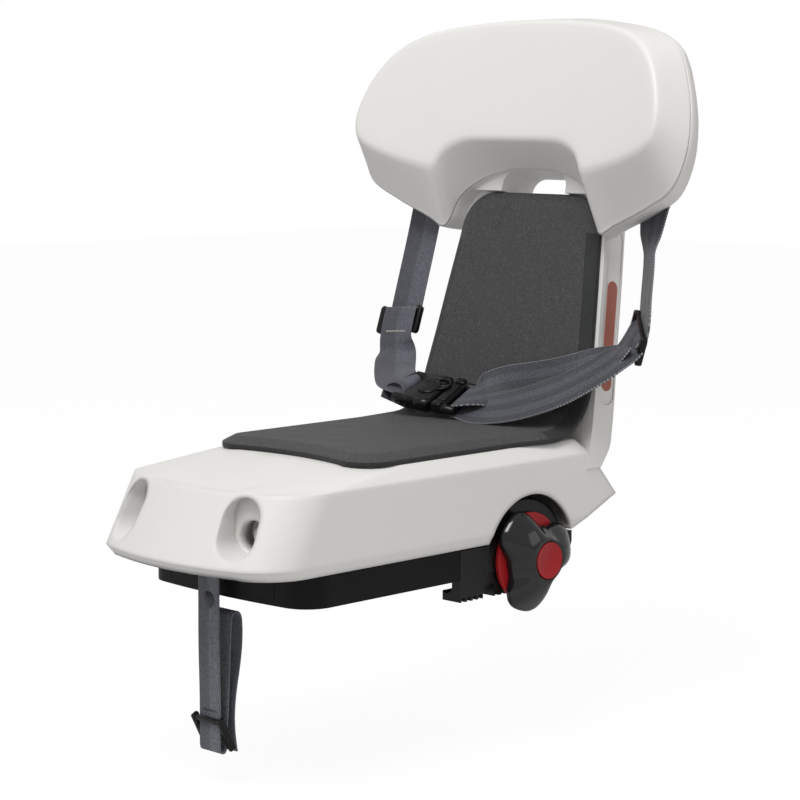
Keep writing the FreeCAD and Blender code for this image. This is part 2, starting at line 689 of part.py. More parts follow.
def at_foot_posts(radius, z0, z1):
    return Part.makeCompound([rod(radius, (m * x, y, z0), (0, 0, 1), z1 - z0) for x, y in FOOT_POSTS for m in (-1, 1)])


BRACKET_UPPER_Z = BRACKET_FOOT_Z + BRACKET_THICK
tray = joined(tray, *foot_posts).cut(at_foot_posts(3.0, BRACKET_FOOT_Z - 22, FAR))
leg = lean(box(-BRACKET_HALF, BRACKET_HALF, BRACKET_Y, SCREW_Y, -90, BRACKET_TOP))
leg = leg.common(box(-FAR, FAR, -FAR, FAR, BRACKET_FOOT_Z, FAR))
foot = box(-BRACKET_HALF, BRACKET_HALF, BRACKET_FOOT_Y, leg.BoundBox.YMin + 2, BRACKET_FOOT_Z, BRACKET_UPPER_Z)
bracket = leg.fuse(foot).cut(lean(at_column_screws(2.5, 0, FAR))).cut(at_foot_posts(3.0, 0, FAR))
bracket = solid_of(bracket)
bracket_bolts = at_foot_posts(3.0, BRACKET_FOOT_Z - 22, BRACKET_UPPER_Z).fuse(at_foot_posts(6.0, BRACKET_UPPER_Z, BRACKET_UPPER_Z + 4))
bolt_reach = POCKET_DEPTH + POCKET_WALL
seat_bolt = rod(BOLT_R, (0, POCKET_DEPTH, -BOLT_DROP), (0, 1, 0), 14).fuse(
    rod(BOLT_HEAD_R, (0, POCKET_DEPTH - 2, -BOLT_DROP), (0, 1, 0), 2))
seat_bolt = seat_bolt.fuse(rod(BOLT_HEAD_R - 3.5, (0, POCKET_DEPTH - 2 - BOLT_HEAD, -BOLT_DROP), (0, 1, 0), BOLT_HEAD))
seat_bolt = seat_bolt.cut(rod(3.2, (0, POCKET_DEPTH - 3 - BOLT_HEAD, -BOLT_DROP), (0, 1, 0), 5))
seat_bolts = both_sides(pocket_frame(seat_bolt))


# Rack clamp


def jaw_blank(inner):
    """One jaw on the +X side: plate, dome behind the knob and hooked feet."""
    low, high, rear = JAW_LOW_Z, JAW_TOP_Z, TRAY_REAR
    front, reach = FEET[0][0], FEET[-1][1]
    profile = [(inner, front, low), (inner, reach, low), (inner, reach + 8, JAW_REAR_Z), (inner, rear, JAW_REAR_Z),
               (inner, rear, high), (inner, front, high)]
    plate = prism(polygon(profile), (TRAY_HALF - inner, 0, 0))
    plate = softened(plate, 9.0, lambda e: e.BoundBox.YMin > rear - 0.1 and e.BoundBox.XLength > 1 and e.BoundBox.ZMax < high - 1)
    dome = along_x(DOME_R, KNOB_Y, KNOB_Z, inner, TRAY_HALF + 1).common(box(0, FAR, 0, FAR, 2, FAR))
    jaw = joined(plate, softened(dome, 3.0, lambda e: e.BoundBox.XMin > TRAY_HALF + 0.9 and e.BoundBox.ZLength > 20))
    for y0, y1 in FEET:
        toe = box(FOOT_TIP_X, TRAY_HALF, y0, y1, FOOT_Z, -0.8)
        toe = toe.cut(rod(RAIL_R, (RAIL_X, y0 - 1, -RAIL_R), (0, 1, 0), y1 - y0 + 2))
        toe = toe.cut(box(FOOT_TIP_X - 1, RAIL_X + RAIL_R, y0 - 1, y1 + 1, -RAIL_R, 0))
        count = int((y1 - y0) / (2 * SLOT_WIDTH - 1.2))
        pitch = (y1 - y0) / count
        for k in range(count):
            y = y0 + (k + 0.5) * pitch
            toe = toe.cut(box(FOOT_TIP_X + 4, TRAY_HALF + 1, y - SLOT_WIDTH / 2, y + SLOT_WIDTH / 2, FOOT_Z - 1, FOOT_Z + SLOT_DEPTH))
        jaw = jaw.fuse(toe)
    return jaw.removeSplitter()


JAW_INNER = TRAY_HALF - JAW_THICK
DOME_X = TRAY_HALF + 1
WASHER_R = 13.0
WASHER_THICK = 1.5
jaw_moving = jaw_blank(JAW_INNER)
jaw_moving = jaw_moving.cut(along_x(SCREW_R + 0.4, KNOB_Y, KNOB_Z, 0, FAR))
jaw_moving = jaw_moving.cut(along_x(WASHER_R, KNOB_Y, KNOB_Z, DOME_X - WASHER_THICK, FAR))
jaw_moving = jaw_moving.cut(Part.makeCompound([along_x(GUIDE_R, y, GUIDE_Z, 0, JAW_INNER + 5) for y in GUIDE_Y]))
thrust_washer = along_x(WASHER_R, KNOB_Y, KNOB_Z, DOME_X - WASHER_THICK, DOME_X).cut(along_x(SCREW_R + 0.4, KNOB_Y, KNOB_Z, 0, FAR))
guide_pins = Part.makeCompound([along_x(GUIDE_R, y, GUIDE_Z, 52, JAW_INNER + 5) for y in GUIDE_Y])
jaw_fixed = jaw_blank(JAW_INNER - JAW_GAP)
jaw_fixed = jaw_fixed.cut(along_x(SCREW_R, KNOB_Y, KNOB_Z, 0, FAR))
jaw_fixed = jaw_fixed.cut(Part.makeCompound([along_x(3.0, y, GUIDE_Z, 0, FAR) for y in GUIDE_Y]))
jaw_fixed = jaw_fixed.cut(Part.makeCompound([along_x(6.0, y, GUIDE_Z, TRAY_HALF - 3, FAR) for y in GUIDE_Y]))
jaw_fixed = mirrored(jaw_fixed)
jaw_screws = [along_x(3.0, y, GUIDE_Z, 64, TRAY_HALF - 3).fuse(along_x(6.0, y, GUIDE_Z, TRAY_HALF - 3, TRAY_HALF)) for y in GUIDE_Y]
jaw_screws = mirrored(Part.makeCompound(jaw_screws))
SCREW_END = DOME_X + 22
screw_head = along_x(10.0, KNOB_Y, KNOB_Z, -DOME_X - 5, -DOME_X)
screw_head = softened(screw_head, 3.0, lambda e: e.BoundBox.XMax < -DOME_X - 4)
clamp_screw = joined(along_x(SCREW_R, KNOB_Y, KNOB_Z, -DOME_X, SCREW_END), screw_head)


# Knob


def lobe_wire(x, tip, valley):
    """A three-lobed outline round the clamp screw."""
    mean, swing = (tip + valley) / 2, (tip - valley) / 2
    points = []
    for k in range(18):
        turn = math.radians(20 * k + KNOB_PHASE)
        r = mean + swing * math.cos(math.radians(60 * k))
        points.append(Vec(x, KNOB_Y + r * math.cos(turn), KNOB_Z + r * math.sin(turn)))
    curve = Part.BSplineCurve()
    curve.interpolate(points, True)
    return Part.Wire(curve.toShape())


FLANGE_X = DOME_X + KNOB_GAP
KNOB_X = FLANGE_X + FLANGE_THICK
FACE_X = KNOB_X + KNOB_THICK
INSERT_END = KNOB_X + 12
flange = along_x(FLANGE_R, KNOB_Y, KNOB_Z, FLANGE_X, KNOB_X).cut(along_x(SCREW_R + 0.6, KNOB_Y, KNOB_Z, 0, FAR))
flange = softened(flange, 1.0, lambda e: e.BoundBox.ZLength > 60)
knob = Part.makeLoft([lobe_wire(KNOB_X, KNOB_TIP_R - 4, KNOB_VALLEY_R - 2), lobe_wire(KNOB_X + 5, KNOB_TIP_R, KNOB_VALLEY_R),
                      lobe_wire(KNOB_X + 12, KNOB_TIP_R - 4, KNOB_VALLEY_R - 2), lobe_wire(FACE_X - 4, 26, 20.5),
                      lobe_wire(FACE_X, CAP_R + 3, CAP_R + 2.5)], True)
knob = knob.cut(along_x(9.0, KNOB_Y, KNOB_Z, 0, INSERT_END)).cut(along_x(SCREW_R + 1, KNOB_Y, KNOB_Z, 0, FACE_X - 4))
knob = knob.cut(along_x(CAP_R, KNOB_Y, KNOB_Z, FACE_X - 4, FAR))
insert = along_x(9.0, KNOB_Y, KNOB_Z, KNOB_X, INSERT_END).cut(along_x(SCREW_R + 0.05, KNOB_Y, KNOB_Z, 0, FAR))
cap = along_x(CAP_R, KNOB_Y, KNOB_Z, FACE_X - 4, FACE_X + 0.5)
cap = cap.cut(Part.makeSphere(60.0, Vec(FACE_X + 0.5 + 57.6, KNOB_Y, KNOB_Z)))


# Webbing


def curve_through(poles):
    """The smooth curve of second degree that has the poles as its control points."""
    curve = Part.BSplineCurve()
    curve.buildFromPoles(poles, False, 2)
    return curve


def ribbon(route, width, thick):
    """A flat strap along a route of (control point, direction of the strap's width)."""
    count = WEB_STEPS * (len(route) - 2)
    middle = curve_through([at for at, across in route])
    turning = curve_through([across for at, across in route])
    wires = []
    for k in range(count + 1):
        t = middle.FirstParameter + (middle.LastParameter - middle.FirstParameter) * k / count
        at = middle.value(t)
        forward = middle.tangent(t)[0]
        across = turning.value(t)
        side = (across - forward * across.dot(forward)).normalize()
        a = side * (width / 2)
        b = side.cross(forward) * (thick / 2)
        wires.append(polygon([at - a - b, at + a - b, at + a + b, at - a + b]))
    return Part.makeLoft(wires, True, True)


def placed(shape, at, along, out):
    """Moves a shape built round the origin so that its z follows along and its y faces out."""
    z = Vec(along).normalize()
    x = Vec(out).cross(z).normalize()
    y = z.cross(x)
    turn = FreeCAD.Matrix(x.x, y.x, z.x, at.x, x.y, y.y, z.y, at.y, x.z, y.z, z.z, at.z, 0, 0, 0, 1)
    moved = shape.copy()
    moved.Placement = FreeCAD.Placement(turn)
    return moved


def slide_frame(width, pitch, bar, thick):
    """A flat slide with three cross bars for the webbing to weave through."""
    inner = width / 2 + SLIDE_PLAY
    half = inner + SLIDE_SIDE
    reach = pitch + bar / 2
    frame = box(-half, half, -thick / 2, thick / 2, -reach, reach)
    frame = frame.makeFillet(SLIDE_SIDE, [e for e in frame.Edges if e.BoundBox.YLength > 0.9 * thick])
    for z in (-pitch / 2, pitch / 2):
        gap = (pitch - bar) / 2
        frame = frame.cut(box(-inner, inner, -thick, thick, z - gap, z + gap))
    return frame


def weave(at, along, out, across):
    """The route of webbing going down behind, before and behind the bars of a slide."""
    lift = (SLIDE_THICK + WEB_THICK) / 2 + SLIDE_PLAY
    rows = []
    for z, y in ((1.25, -1), (0.75, -1), (0.25, 1), (-0.25, 1), (-0.75, -1), (-1.25, -1)):
        rows.append((at + along * (z * SLIDE_PITCH) + out * (y * lift), across))
    return rows


def wrapped(bar, ahead, up, across, turns):
    """The route of webbing round a bar."""
    reach = BAR_R + WEB_THICK + 0.9
    rows = []
    for turn in turns:
        angle = math.radians(turn)
        rows.append((bar + ahead * (reach * math.cos(angle)) + up * (reach * math.sin(angle)), across))
    return rows


X_AXIS = Vec(1, 0, 0)
buckle_axis = Vec(*BUCKLE_AXIS).normalize()
buckle_up = Vec(*BUCKLE_UP)
buckle_up = (buckle_up - buckle_axis * buckle_up.dot(buckle_axis)).normalize()
buckle_across = buckle_up.cross(buckle_axis).normalize()
buckle_at = Vec(*BUCKLE_AT)
mouth = buckle_at + buckle_axis * MOUTH_AT
socket_bar = mouth - buckle_axis * (SOCKET_LONG + BAR_OUT)
plug_bar = mouth + buckle_axis * (PLUG_LONG + BAR_OUT)

# Harness on the child's right, from the headrest through its slide to the socket of the buckle
right_exit = leaned(-STRAP_X, STRAP_Y, STRAP_EXIT_Z)
right_slide = Vec(*RIGHT_SLIDE_AT)
right_along = (right_exit - right_slide).normalize()
right_across = (X_AXIS - right_along * X_AXIS.dot(right_along)).normalize()
right_out = right_across.cross(right_along).normalize()
right_route = [(leaned(-STRAP_X, STRAP_Y, ANCHOR_Z - ANCHOR_R - 0.1), X_AXIS), (right_exit, X_AXIS)]
right_route += weave(right_slide, right_along, right_out, right_across)
right_route += [(Vec(-122, 157, 163), Vec(0.9, 0.4, -0.1)), (Vec(-114, 147, 150), Vec(0.5, 0.85, 0.1))]
right_route.append((socket_bar - buckle_axis * 14 + buckle_up * 6, buckle_across))
right_route += wrapped(socket_bar, buckle_axis, buckle_up, buckle_across, (90, 45, 0, -45, -90))
right_route += [(socket_bar - buckle_axis * 8 - buckle_up * 6, buckle_across), (Vec(-76, 120, 122), buckle_across)]
strap_right = ribbon(right_route, WEB_WIDTH, WEB_THICK)
slide_right = placed(slide_frame(WEB_WIDTH, SLIDE_PITCH, SLIDE_BAR, SLIDE_THICK), right_slide, right_along, right_out)

# Harness on the child's left, from the headrest through its slide, round the plug and back to the slide
left_exit = leaned(STRAP_X, STRAP_Y, STRAP_EXIT_Z)
left_slide = Vec(*LEFT_SLIDE_AT)
left_along = (left_exit - left_slide).normalize()
left_across = Vec(0.78, -0.62, 0)
left_across = (left_across - left_along * left_across.dot(left_along)).normalize()
left_out = left_across.cross(left_along).normalize()
left_route = [(leaned(STRAP_X, STRAP_Y, ANCHOR_Z - ANCHOR_R - 0.1), X_AXIS), (left_exit, X_AXIS),
              (left_slide + left_along * 62 - left_out * 2, X_AXIS + left_across),
              (left_slide + left_along * 32 - left_out * 3, left_across)]
left_route += weave(left_slide, left_along, left_out, left_across)
left_route.append((left_slide - left_along * (2.0 * SLIDE_PITCH) - left_out, left_across))
left_route += [(Vec(122, 178, 167), Vec(0.6, -0.3, 0.5)), (Vec(106, 166, 161), Vec(0.3, 0.1, 0.85)),
               (Vec(74, 159, 144), Vec(0.15, 0.45, 0.85)), (Vec(42, 149, 132), Vec(0, 0.68, 0.73)),
               (Vec(16, 135, 125), buckle_across)]
left_route += wrapped(plug_bar, buckle_axis * -1, buckle_up, buckle_across, (-100, -45, 0, 45, 90))
left_route += [(plug_bar + buckle_axis * 12 + buckle_up * 8, buckle_across), (Vec(14, 158, 148), Vec(0, 0.35, 0.93)),
               (Vec(48, 162, 154), Vec(0, 0.25, 0.97)), (Vec(86, 163, 163), Vec(0.2, 0.1, 0.95)),
               (Vec(112, 170, 173), Vec(0.5, -0.2, 0.7)), (Vec(125, 183, 181), left_across)]
strap_left = ribbon(left_route, WEB_WIDTH, WEB_THICK)
slide_left = placed(slide_frame(WEB_WIDTH, SLIDE_PITCH, SLIDE_BAR, SLIDE_THICK), left_slide, left_along, left_out)


def loop_end(half, thick, length, bar_out):
    """The open end of a buckle half, with the bar that the webbing goes round."""
    arm = box(half - BUCKLE_ARM, half, -thick / 2, thick / 2, length - 1, length + bar_out + BAR_R)
    return both_sides(arm).fuse(rod(BAR_R, (-half + 1, 0, length + bar_out), (1, 0, 0), 2 * half - 2))


def across_corners(shape, long):
    return [e for e in shape.Edges if e.BoundBox.ZLength > 0.9 * long]


half = WEB_WIDTH / 2 + SLIDE_PLAY + BUCKLE_ARM
room = (PRONG_HALF + 0.4, PRONG_THICK / 2 + 0.4)
socket = box(-half, half, -SOCKET_THICK / 2, SOCKET_THICK / 2, 0, SOCKET_LONG)
socket = socket.makeFillet(4.0, across_corners(socket, SOCKET_LONG))
socket = joined(socket, loop_end(half, SOCKET_THICK - 4, SOCKET_LONG, BAR_OUT))
socket = socket.cut(box(-room[0], room[0], -room[1], room[1], -1, PRONG_LONG + 1))
socket = socket.cut(both_sides(box(room[0] - 7, half + 1, -room[1], room[1], PRONG_LONG - 15, PRONG_LONG)))
socket = placed(socket, mouth, buckle_axis * -1, buckle_up)
plug = box(-half, half, -PLUG_THICK / 2, PLUG_THICK / 2, 0, PLUG_LONG)
plug = plug.makeFillet(3.0, across_corners(plug, PLUG_LONG))
plug = joined(plug, loop_end(half, PLUG_THICK - 2, PLUG_LONG, BAR_OUT))
prong = box(PRONG_HALF - 6, PRONG_HALF, -PRONG_THICK / 2, PRONG_THICK / 2, -PRONG_LONG, 1)
tongue = box(-5, 5, -PRONG_THICK / 2, PRONG_THICK / 2, -PRONG_LONG + 3, 1)
plug = joined(plug, prong, mirrored(prong), tongue)
plug = placed(plug, mouth + buckle_axis * BUCKLE_GAP, buckle_axis, buckle_up)

# Tether that hangs before the tray, looped round its slide and back up to the rivet
strand_gap = GLIDE_BAR + WEB_THICK + 2.2
behind_y = TETHER_Y + strand_gap
bar_y = TETHER_Y + strand_gap / 2
back_y = TETHER_Y + WEB_THICK
tether_points = [(TETHER_Y, TETHER_TOP_Z), (TETHER_Y, 0), (TETHER_Y, TETHER_LOW_Z + 6), (TETHER_Y, TETHER_LOW_Z - 3.4),
                 (behind_y, TETHER_LOW_Z - 3.4), (behind_y, TETHER_LOW_Z + 6), (-158, -78), (-149, -46), (-150, -22),
                 (-158, -13), (back_y, -11), (back_y, -3), (back_y, 8)]
tether_route = [(Vec(0, y, z), X_AXIS) for y, z in tether_points]
tether = ribbon(tether_route, TETHER_WIDTH, WEB_THICK)
front_y = TETHER_Y - WEB_THICK / 2
snap = rod(SNAP_R, (0, front_y - SNAP_THICK, SNAP_Z), (0, 1, 0), SNAP_THICK)
snap = snap.makeFillet(1.2, [e for e in snap.Edges if e.BoundBox.YMax < front_y - 0.9 * SNAP_THICK])
tether_screw = rod(TETHER_SCREW_R, (0, front_y - SNAP_THICK, TETHER_SCREW_Z), (0, 1, 0), SNAP_THICK)
glide_along = Vec(*GLIDE_ALONG).normalize()
glide = slide_frame(TETHER_WIDTH, GLIDE_PITCH, GLIDE_BAR, GLIDE_BAR)
glide = placed(glide, Vec(0, bar_y, TETHER_LOW_Z) - glide_along * GLIDE_PITCH, glide_along, Vec(0, -1, 0))

NODES = {
    "seat_shell": shell, "seat_pad": pad, "back_column": column, "column_rear_cover": column_cover, "side_badge": badge,
    "headrest_front": headrest_front, "headrest_rear_cover": headrest_cover, "headrest_screws": headrest_screws,
    "column_screws": column_screws, "back_bracket": bracket, "bracket_bolts": bracket_bolts, "seat_bolts": seat_bolts,
    "strap_anchor_pins": lean(both_sides(anchor)), "base_tray": tray, "tray_front_panel": front_panel,
    "jaw_moving": jaw_moving, "jaw_fixed": jaw_fixed, "jaw_screws": jaw_screws, "guide_pins": guide_pins,
    "clamp_screw": clamp_screw, "thrust_washer": thrust_washer, "knob_flange": flange, "knob_body": knob,
    "knob_insert": insert, "knob_cap": cap, "harness_strap_right": strap_right, "harness_strap_left": strap_left,
    "harness_slide_right": slide_right, "harness_slide_left": slide_left, "buckle_socket": socket, "buckle_plug": plug,
    "tether_strap": tether, "tether_snap": snap, "tether_screw": tether_screw, "tether_slide": glide,
}
os.makedirs("parts", exist_ok=True)
for name, shape in NODES.items():
    shape.exportStep("parts/" + name + ".step")
    if not shape.isValid() or len(shape.Solids) < 1:
        print("not sound:", name)
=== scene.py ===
import math

import bpy
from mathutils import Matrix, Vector
from mathutils.geometry import delaunay_2d_cdt


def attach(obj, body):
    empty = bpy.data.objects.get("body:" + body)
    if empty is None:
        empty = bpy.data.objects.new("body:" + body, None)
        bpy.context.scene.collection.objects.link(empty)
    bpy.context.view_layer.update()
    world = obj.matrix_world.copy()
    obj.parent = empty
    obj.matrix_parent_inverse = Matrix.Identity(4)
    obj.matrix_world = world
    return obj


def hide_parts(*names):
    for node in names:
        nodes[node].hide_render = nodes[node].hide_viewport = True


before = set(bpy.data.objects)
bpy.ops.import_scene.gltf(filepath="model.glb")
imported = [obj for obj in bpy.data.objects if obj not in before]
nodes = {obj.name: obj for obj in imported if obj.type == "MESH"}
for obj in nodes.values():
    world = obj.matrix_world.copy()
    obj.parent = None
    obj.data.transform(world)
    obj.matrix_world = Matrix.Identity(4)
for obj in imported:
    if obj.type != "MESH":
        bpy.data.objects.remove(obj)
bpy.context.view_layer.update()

# Dimensions in millimetres, as in the part's own source
MM = 0.001
LEAN = math.radians(13.5)
HINGE_Y, HINGE_Z = 163.0, 114.0
PAD_THICK, PAD_RIM, PAD_BEVEL = 10.0, 4.5, 11.0
PAD_HALF, PAD_FRONT, PAD_HOLLOW, PAD_CORNER_R = 96.0, -88.0, 10.0, 28.0
PAD_BEND_R, PAD_TOP, PAD_TOP_R, PAD_MARGIN = 45.0, 204.0, 36.0, 3.5
PAD_FLARE_Y, PAD_FLARE = 80.0, 6.5
PAD_GRID = 7.0
COLUMN_SIDE = [(-60, 107.5), (0, 106.5), (34, 103), (74, 97.5), (117, 92.5), (167, 86), (215, 80)]
WEB_WIDTH, TETHER_WIDTH, WEB_THICK = 38.0, 25.0, 1.6
STRAP_X, STRAP_Y, STRAP_TOP_Z, STRAP_EXIT_Z = 135.0, 11.0, 211.9, 178.0
SLIDE_PITCH, SLIDE_LIFT = 11.5, 3.4
RIGHT_SLIDE = Vector((-126, 174, 192))
LEFT_SLIDE = Vector((131, 203, 191))
BUCKLE_AT = Vector((-45, 134, 133))
BUCKLE_AXIS = Vector((0.96, 0.2, -0.12)).normalized()
BUCKLE_UP = Vector((0.08, -0.38, 0.92))
MOUTH_AT, SOCKET_REACH, PLUG_REACH, WRAP_R = 8.0, 37.0, 23.0, 4.5
TETHER_Y, TETHER_BACK_Y, TETHER_LOW_Z = -170.8, -164.0, -112.0
TETHER_TACK_Z = -92.0
KNOB_X, KNOB_Y, KNOB_Z, KNOB_THICK, CAP_R = 103.9, 96.0, 10.5, 23.0, 15.5
KNOB_TIP_R, KNOB_VALLEY_R, KNOB_PHASE = 46.0, 29.0, math.radians(12.0)
FLOOR_Z = -154.0

# Camera at the photograph's angle
CAMERA_AT = Vector((1439.0, -1394.0, 394.7)) * MM
CAMERA_TARGET = Vector((0.0, 45.0, 139.5)) * MM
CAMERA_LENS = 108.0


def leaned(x, y, z):
    """A point of the upright backrest, tilted back about the hinge line."""
    return Vector((x, HINGE_Y + y * math.cos(LEAN) + z * math.sin(LEAN),
                   HINGE_Z - y * math.sin(LEAN) + z * math.cos(LEAN)))


def square_to(vector, axis):
    """The part of a vector that is square to an axis, at unit length."""
    return (vector - axis * vector.dot(axis)).normalized()


# Materials


def make(tree, kind, **settings):
    """A shader node with its settings."""
    made = tree.nodes.new("ShaderNode" + kind)
    for key, value in settings.items():
        setattr(made, key, value)
    return made


def put(tree, socket, value):
    """Links an output into a socket, or sets the socket's own value."""
    if isinstance(value, bpy.types.NodeSocket):
        tree.links.new(value, socket)
    else:
        socket.default_value = value


def maths(tree, operation, a, b=0.0, c=0.0):
    made = make(tree, "Math", operation=operation)
    for socket, value in zip(made.inputs, (a, b, c)):
        put(tree, socket, value)
    return made.outputs[0]


def noise(tree, place, scale, detail=2.0, rough=0.5):
    made = make(tree, "TexNoise")
    put(tree, made.inputs["Vector"], place)
    put(tree, made.inputs["Scale"], scale)
    put(tree, made.inputs["Detail"], detail)
    put(tree, made.inputs["Roughness"], rough)
    return made.outputs["Fac"]


def spread(tree, value, low, high, to_low, to_high):
    """Maps a range of values to another, held at its ends."""
    made = make(tree, "MapRange")
    for socket, number in zip(made.inputs[:5], (value, low, high, to_low, to_high)):
        put(tree, socket, number)
    return made.outputs[0]


def tint(tree, factor, dark, light):
    """A colour between two, by a factor."""
    made = make(tree, "Mix", data_type="RGBA")
    put(tree, made.inputs["Factor"], factor)
    put(tree, made.inputs["A"], (*dark, 1.0))
    put(tree, made.inputs["B"], (*light, 1.0))
    return made.outputs["Result"]


def mixed(tree, factor, a, b):
    """A mix of two colour sockets."""
    made = make(tree, "Mix", data_type="RGBA")
    put(tree, made.inputs["Factor"], factor)
    put(tree, made.inputs["A"], a)
    put(tree, made.inputs["B"], b)
    return made.outputs["Result"]


def bump(tree, height, strength, depth, under=None):
    made = make(tree, "Bump")
    put(tree, made.inputs["Height"], height)
    put(tree, made.inputs["Strength"], strength)
    put(tree, made.inputs["Distance"], depth)
    if under is not None:
        put(tree, made.inputs["Normal"], under)
    return made.outputs["Normal"]


def finish_of(name, **sockets):
    """A new material: its tree, its shader and its object coordinates."""
    material = bpy.data.materials.new(name)
    material.use_nodes = True
    tree = material.node_tree
    shader = tree.nodes["Principled BSDF"]
    for key, value in sockets.items():
        shader.inputs[key.replace("_", " ")].default_value = value
    place = make(tree, "TexCoord")
    return material, tree, shader, place


# Texture scales of the finishes, in cycles a metre, and phases of the weave, in radians
MOTTLE_SCALE, GLOSS_SCALE, WAVE_SCALE = 9.0, 30.0, 26.0
CELL_SCALE, FLECK_SCALE, WEAR_SCALE = 620.0, 480.0, 45.0
FUZZ_SCALE, TWIST_SCALE, MARK_SCALE = 520.0, 1800.0, 300.0
CHEVRONS, RIB_PHASE, RIB_SKEW, THREAD_PHASE = 12.0, 4200.0, 5.0, 190.0
DASH_PHASE, DASH_START, EDGE_START = 2600.0, -0.2, 0.482
EDGE_THREAD = (0.30, 0.31, 0.33, 1.0)


def moulded(name, dark, light, rough, grain, depth, soft=0.0, **sockets):
    """Moulded plastic: a fine eroded grain, faint mottling, uneven gloss and edges softened by a radius."""
    material, tree, shader, place = finish_of(name, **sockets)
    at = place.outputs["Object"]
    put(tree, shader.inputs["Base Color"], tint(tree, noise(tree, at, MOTTLE_SCALE, 3.0), dark, light))
    gloss = spread(tree, noise(tree, at, GLOSS_SCALE, 4.0), 0.3, 0.7, rough - 0.05, rough + 0.05)
    put(tree, shader.inputs["Roughness"], gloss)
    under = None
    if soft:
        rounded = make(tree, "Bevel", samples=6)
        rounded.inputs["Radius"].default_value = soft * MM
        under = rounded.outputs["Normal"]
    wave = bump(tree, noise(tree, at, WAVE_SCALE, 1.0), 0.05, 0.001, under)
    put(tree, shader.inputs["Normal"], bump(tree, noise(tree, at, grain, 3.0, 0.65), 0.5, depth, wave))
    return material


def foam(name, deep, dark, light, flecks):
    """Closed-cell foam: a fine speckle of cells, pale and dark, under a dull skin."""
    material, tree, shader, place = finish_of(name, Specular_IOR_Level=0.3, Sheen_Weight=0.06,
                                              Sheen_Roughness=0.6)
    at = place.outputs["Object"]
    cells = noise(tree, at, CELL_SCALE, 3.0, 0.75)
    broad = noise(tree, at, WEAR_SCALE, 3.0)
    base = tint(tree, spread(tree, cells, 0.32, 0.66, 0.0, 1.0), deep, dark)
    pale = spread(tree, noise(tree, at, FLECK_SCALE, 2.0, 0.6), 0.54, 0.72, 0.0, flecks)
    base = mixed(tree, pale, base, (*light, 1.0))
    worn = spread(tree, broad, 0.3, 0.7, 0.0, 0.3)
    put(tree, shader.inputs["Base Color"], mixed(tree, worn, base, (*dark, 1.0)))
    put(tree, shader.inputs["Roughness"], spread(tree, broad, 0.3, 0.7, 0.60, 0.74))
    soft = bump(tree, broad, 0.12, 0.0008)
    put(tree, shader.inputs["Normal"], bump(tree, cells, 0.6, 0.0004, soft))
    return material


def webbing(name, dark, light, bands, edge):
    """Woven polyester: cross ribs in chevrons, lengthwise bands and a stitched edge, by the strap's UVs."""
    material, tree, shader, place = finish_of(name, Specular_IOR_Level=0.4, Sheen_Weight=0.25,
                                              Sheen_Roughness=0.45)
    split = make(tree, "SeparateXYZ")
    put(tree, split.inputs[0], place.outputs["UV"])
    across, along = split.outputs[0], split.outputs[1]
    fold = maths(tree, "PINGPONG", maths(tree, "MULTIPLY", across, CHEVRONS), 1.0)
    phase = maths(tree, "MULTIPLY_ADD", along, RIB_PHASE, maths(tree, "MULTIPLY", fold, RIB_SKEW))
    rib = maths(tree, "MULTIPLY_ADD", maths(tree, "SINE", phase), 0.5, 0.5)
    twill = maths(tree, "SINE", maths(tree, "MULTIPLY", across, THREAD_PHASE))
    thread = maths(tree, "MULTIPLY_ADD", twill, 0.5, 0.5)
    weave = maths(tree, "MULTIPLY_ADD", rib, 0.65, maths(tree, "MULTIPLY", thread, 0.35))
    fuzz = noise(tree, place.outputs["Object"], FUZZ_SCALE, 3.0, 0.6)
    mottle = spread(tree, fuzz, 0.30, 0.70, 0.0, 0.75)
    yarn = tint(tree, maths(tree, "MULTIPLY_ADD", weave, 0.5, mottle), dark, light)
    band = maths(tree, "SINE", maths(tree, "MULTIPLY", across, bands * math.tau))
    shade = spread(tree, band, -0.25, 0.25, 0.0, 0.4)
    yarn = mixed(tree, shade, yarn, tuple(0.5 * c for c in dark) + (1.0,))
    middle = maths(tree, "ABSOLUTE", maths(tree, "SUBTRACT", across, 0.5))
    stitch = maths(tree, "SINE", maths(tree, "MULTIPLY", along, DASH_PHASE))
    dash = maths(tree, "GREATER_THAN", stitch, DASH_START)
    rim = maths(tree, "MULTIPLY", maths(tree, "GREATER_THAN", middle, EDGE_START), dash)
    yarn = mixed(tree, maths(tree, "MULTIPLY", rim, edge), yarn, EDGE_THREAD)
    put(tree, shader.inputs["Base Color"], yarn)
    put(tree, shader.inputs["Roughness"], spread(tree, weave, 0.0, 1.0, 0.62, 0.46))
    put(tree, shader.inputs["Normal"], bump(tree, weave, 0.6, 0.00035))
    return material


def thread_finish(name, dark, light):
    """Twisted sewing thread."""
    material, tree, shader, place = finish_of(name, Roughness=0.6, Sheen_Weight=0.3)
    twist = noise(tree, place.outputs["Object"], TWIST_SCALE, 2.0)
    put(tree, shader.inputs["Base Color"], tint(tree, twist, dark, light))
    put(tree, shader.inputs["Normal"], bump(tree, twist, 0.4, 0.0002))
    return material


def metal(name, dark, light, rough, stretch):
    """Plated or turned metal with fine drawn marks along one axis."""
    material, tree, shader, place = finish_of(name, Metallic=1.0)
    mapping = make(tree, "Mapping")
    put(tree, mapping.inputs["Vector"], place.outputs["Object"])
    mapping.inputs["Scale"].default_value = stretch
    marks = noise(tree, mapping.outputs[0], MARK_SCALE, 3.0)
    put(tree, shader.inputs["Base Color"], tint(tree, marks, dark, light))
    put(tree, shader.inputs["Roughness"], spread(tree, marks, 0.3, 0.7, rough - 0.08, rough + 0.10))
    put(tree, shader.inputs["Normal"], bump(tree, marks, 0.2, 0.0001))
    return material


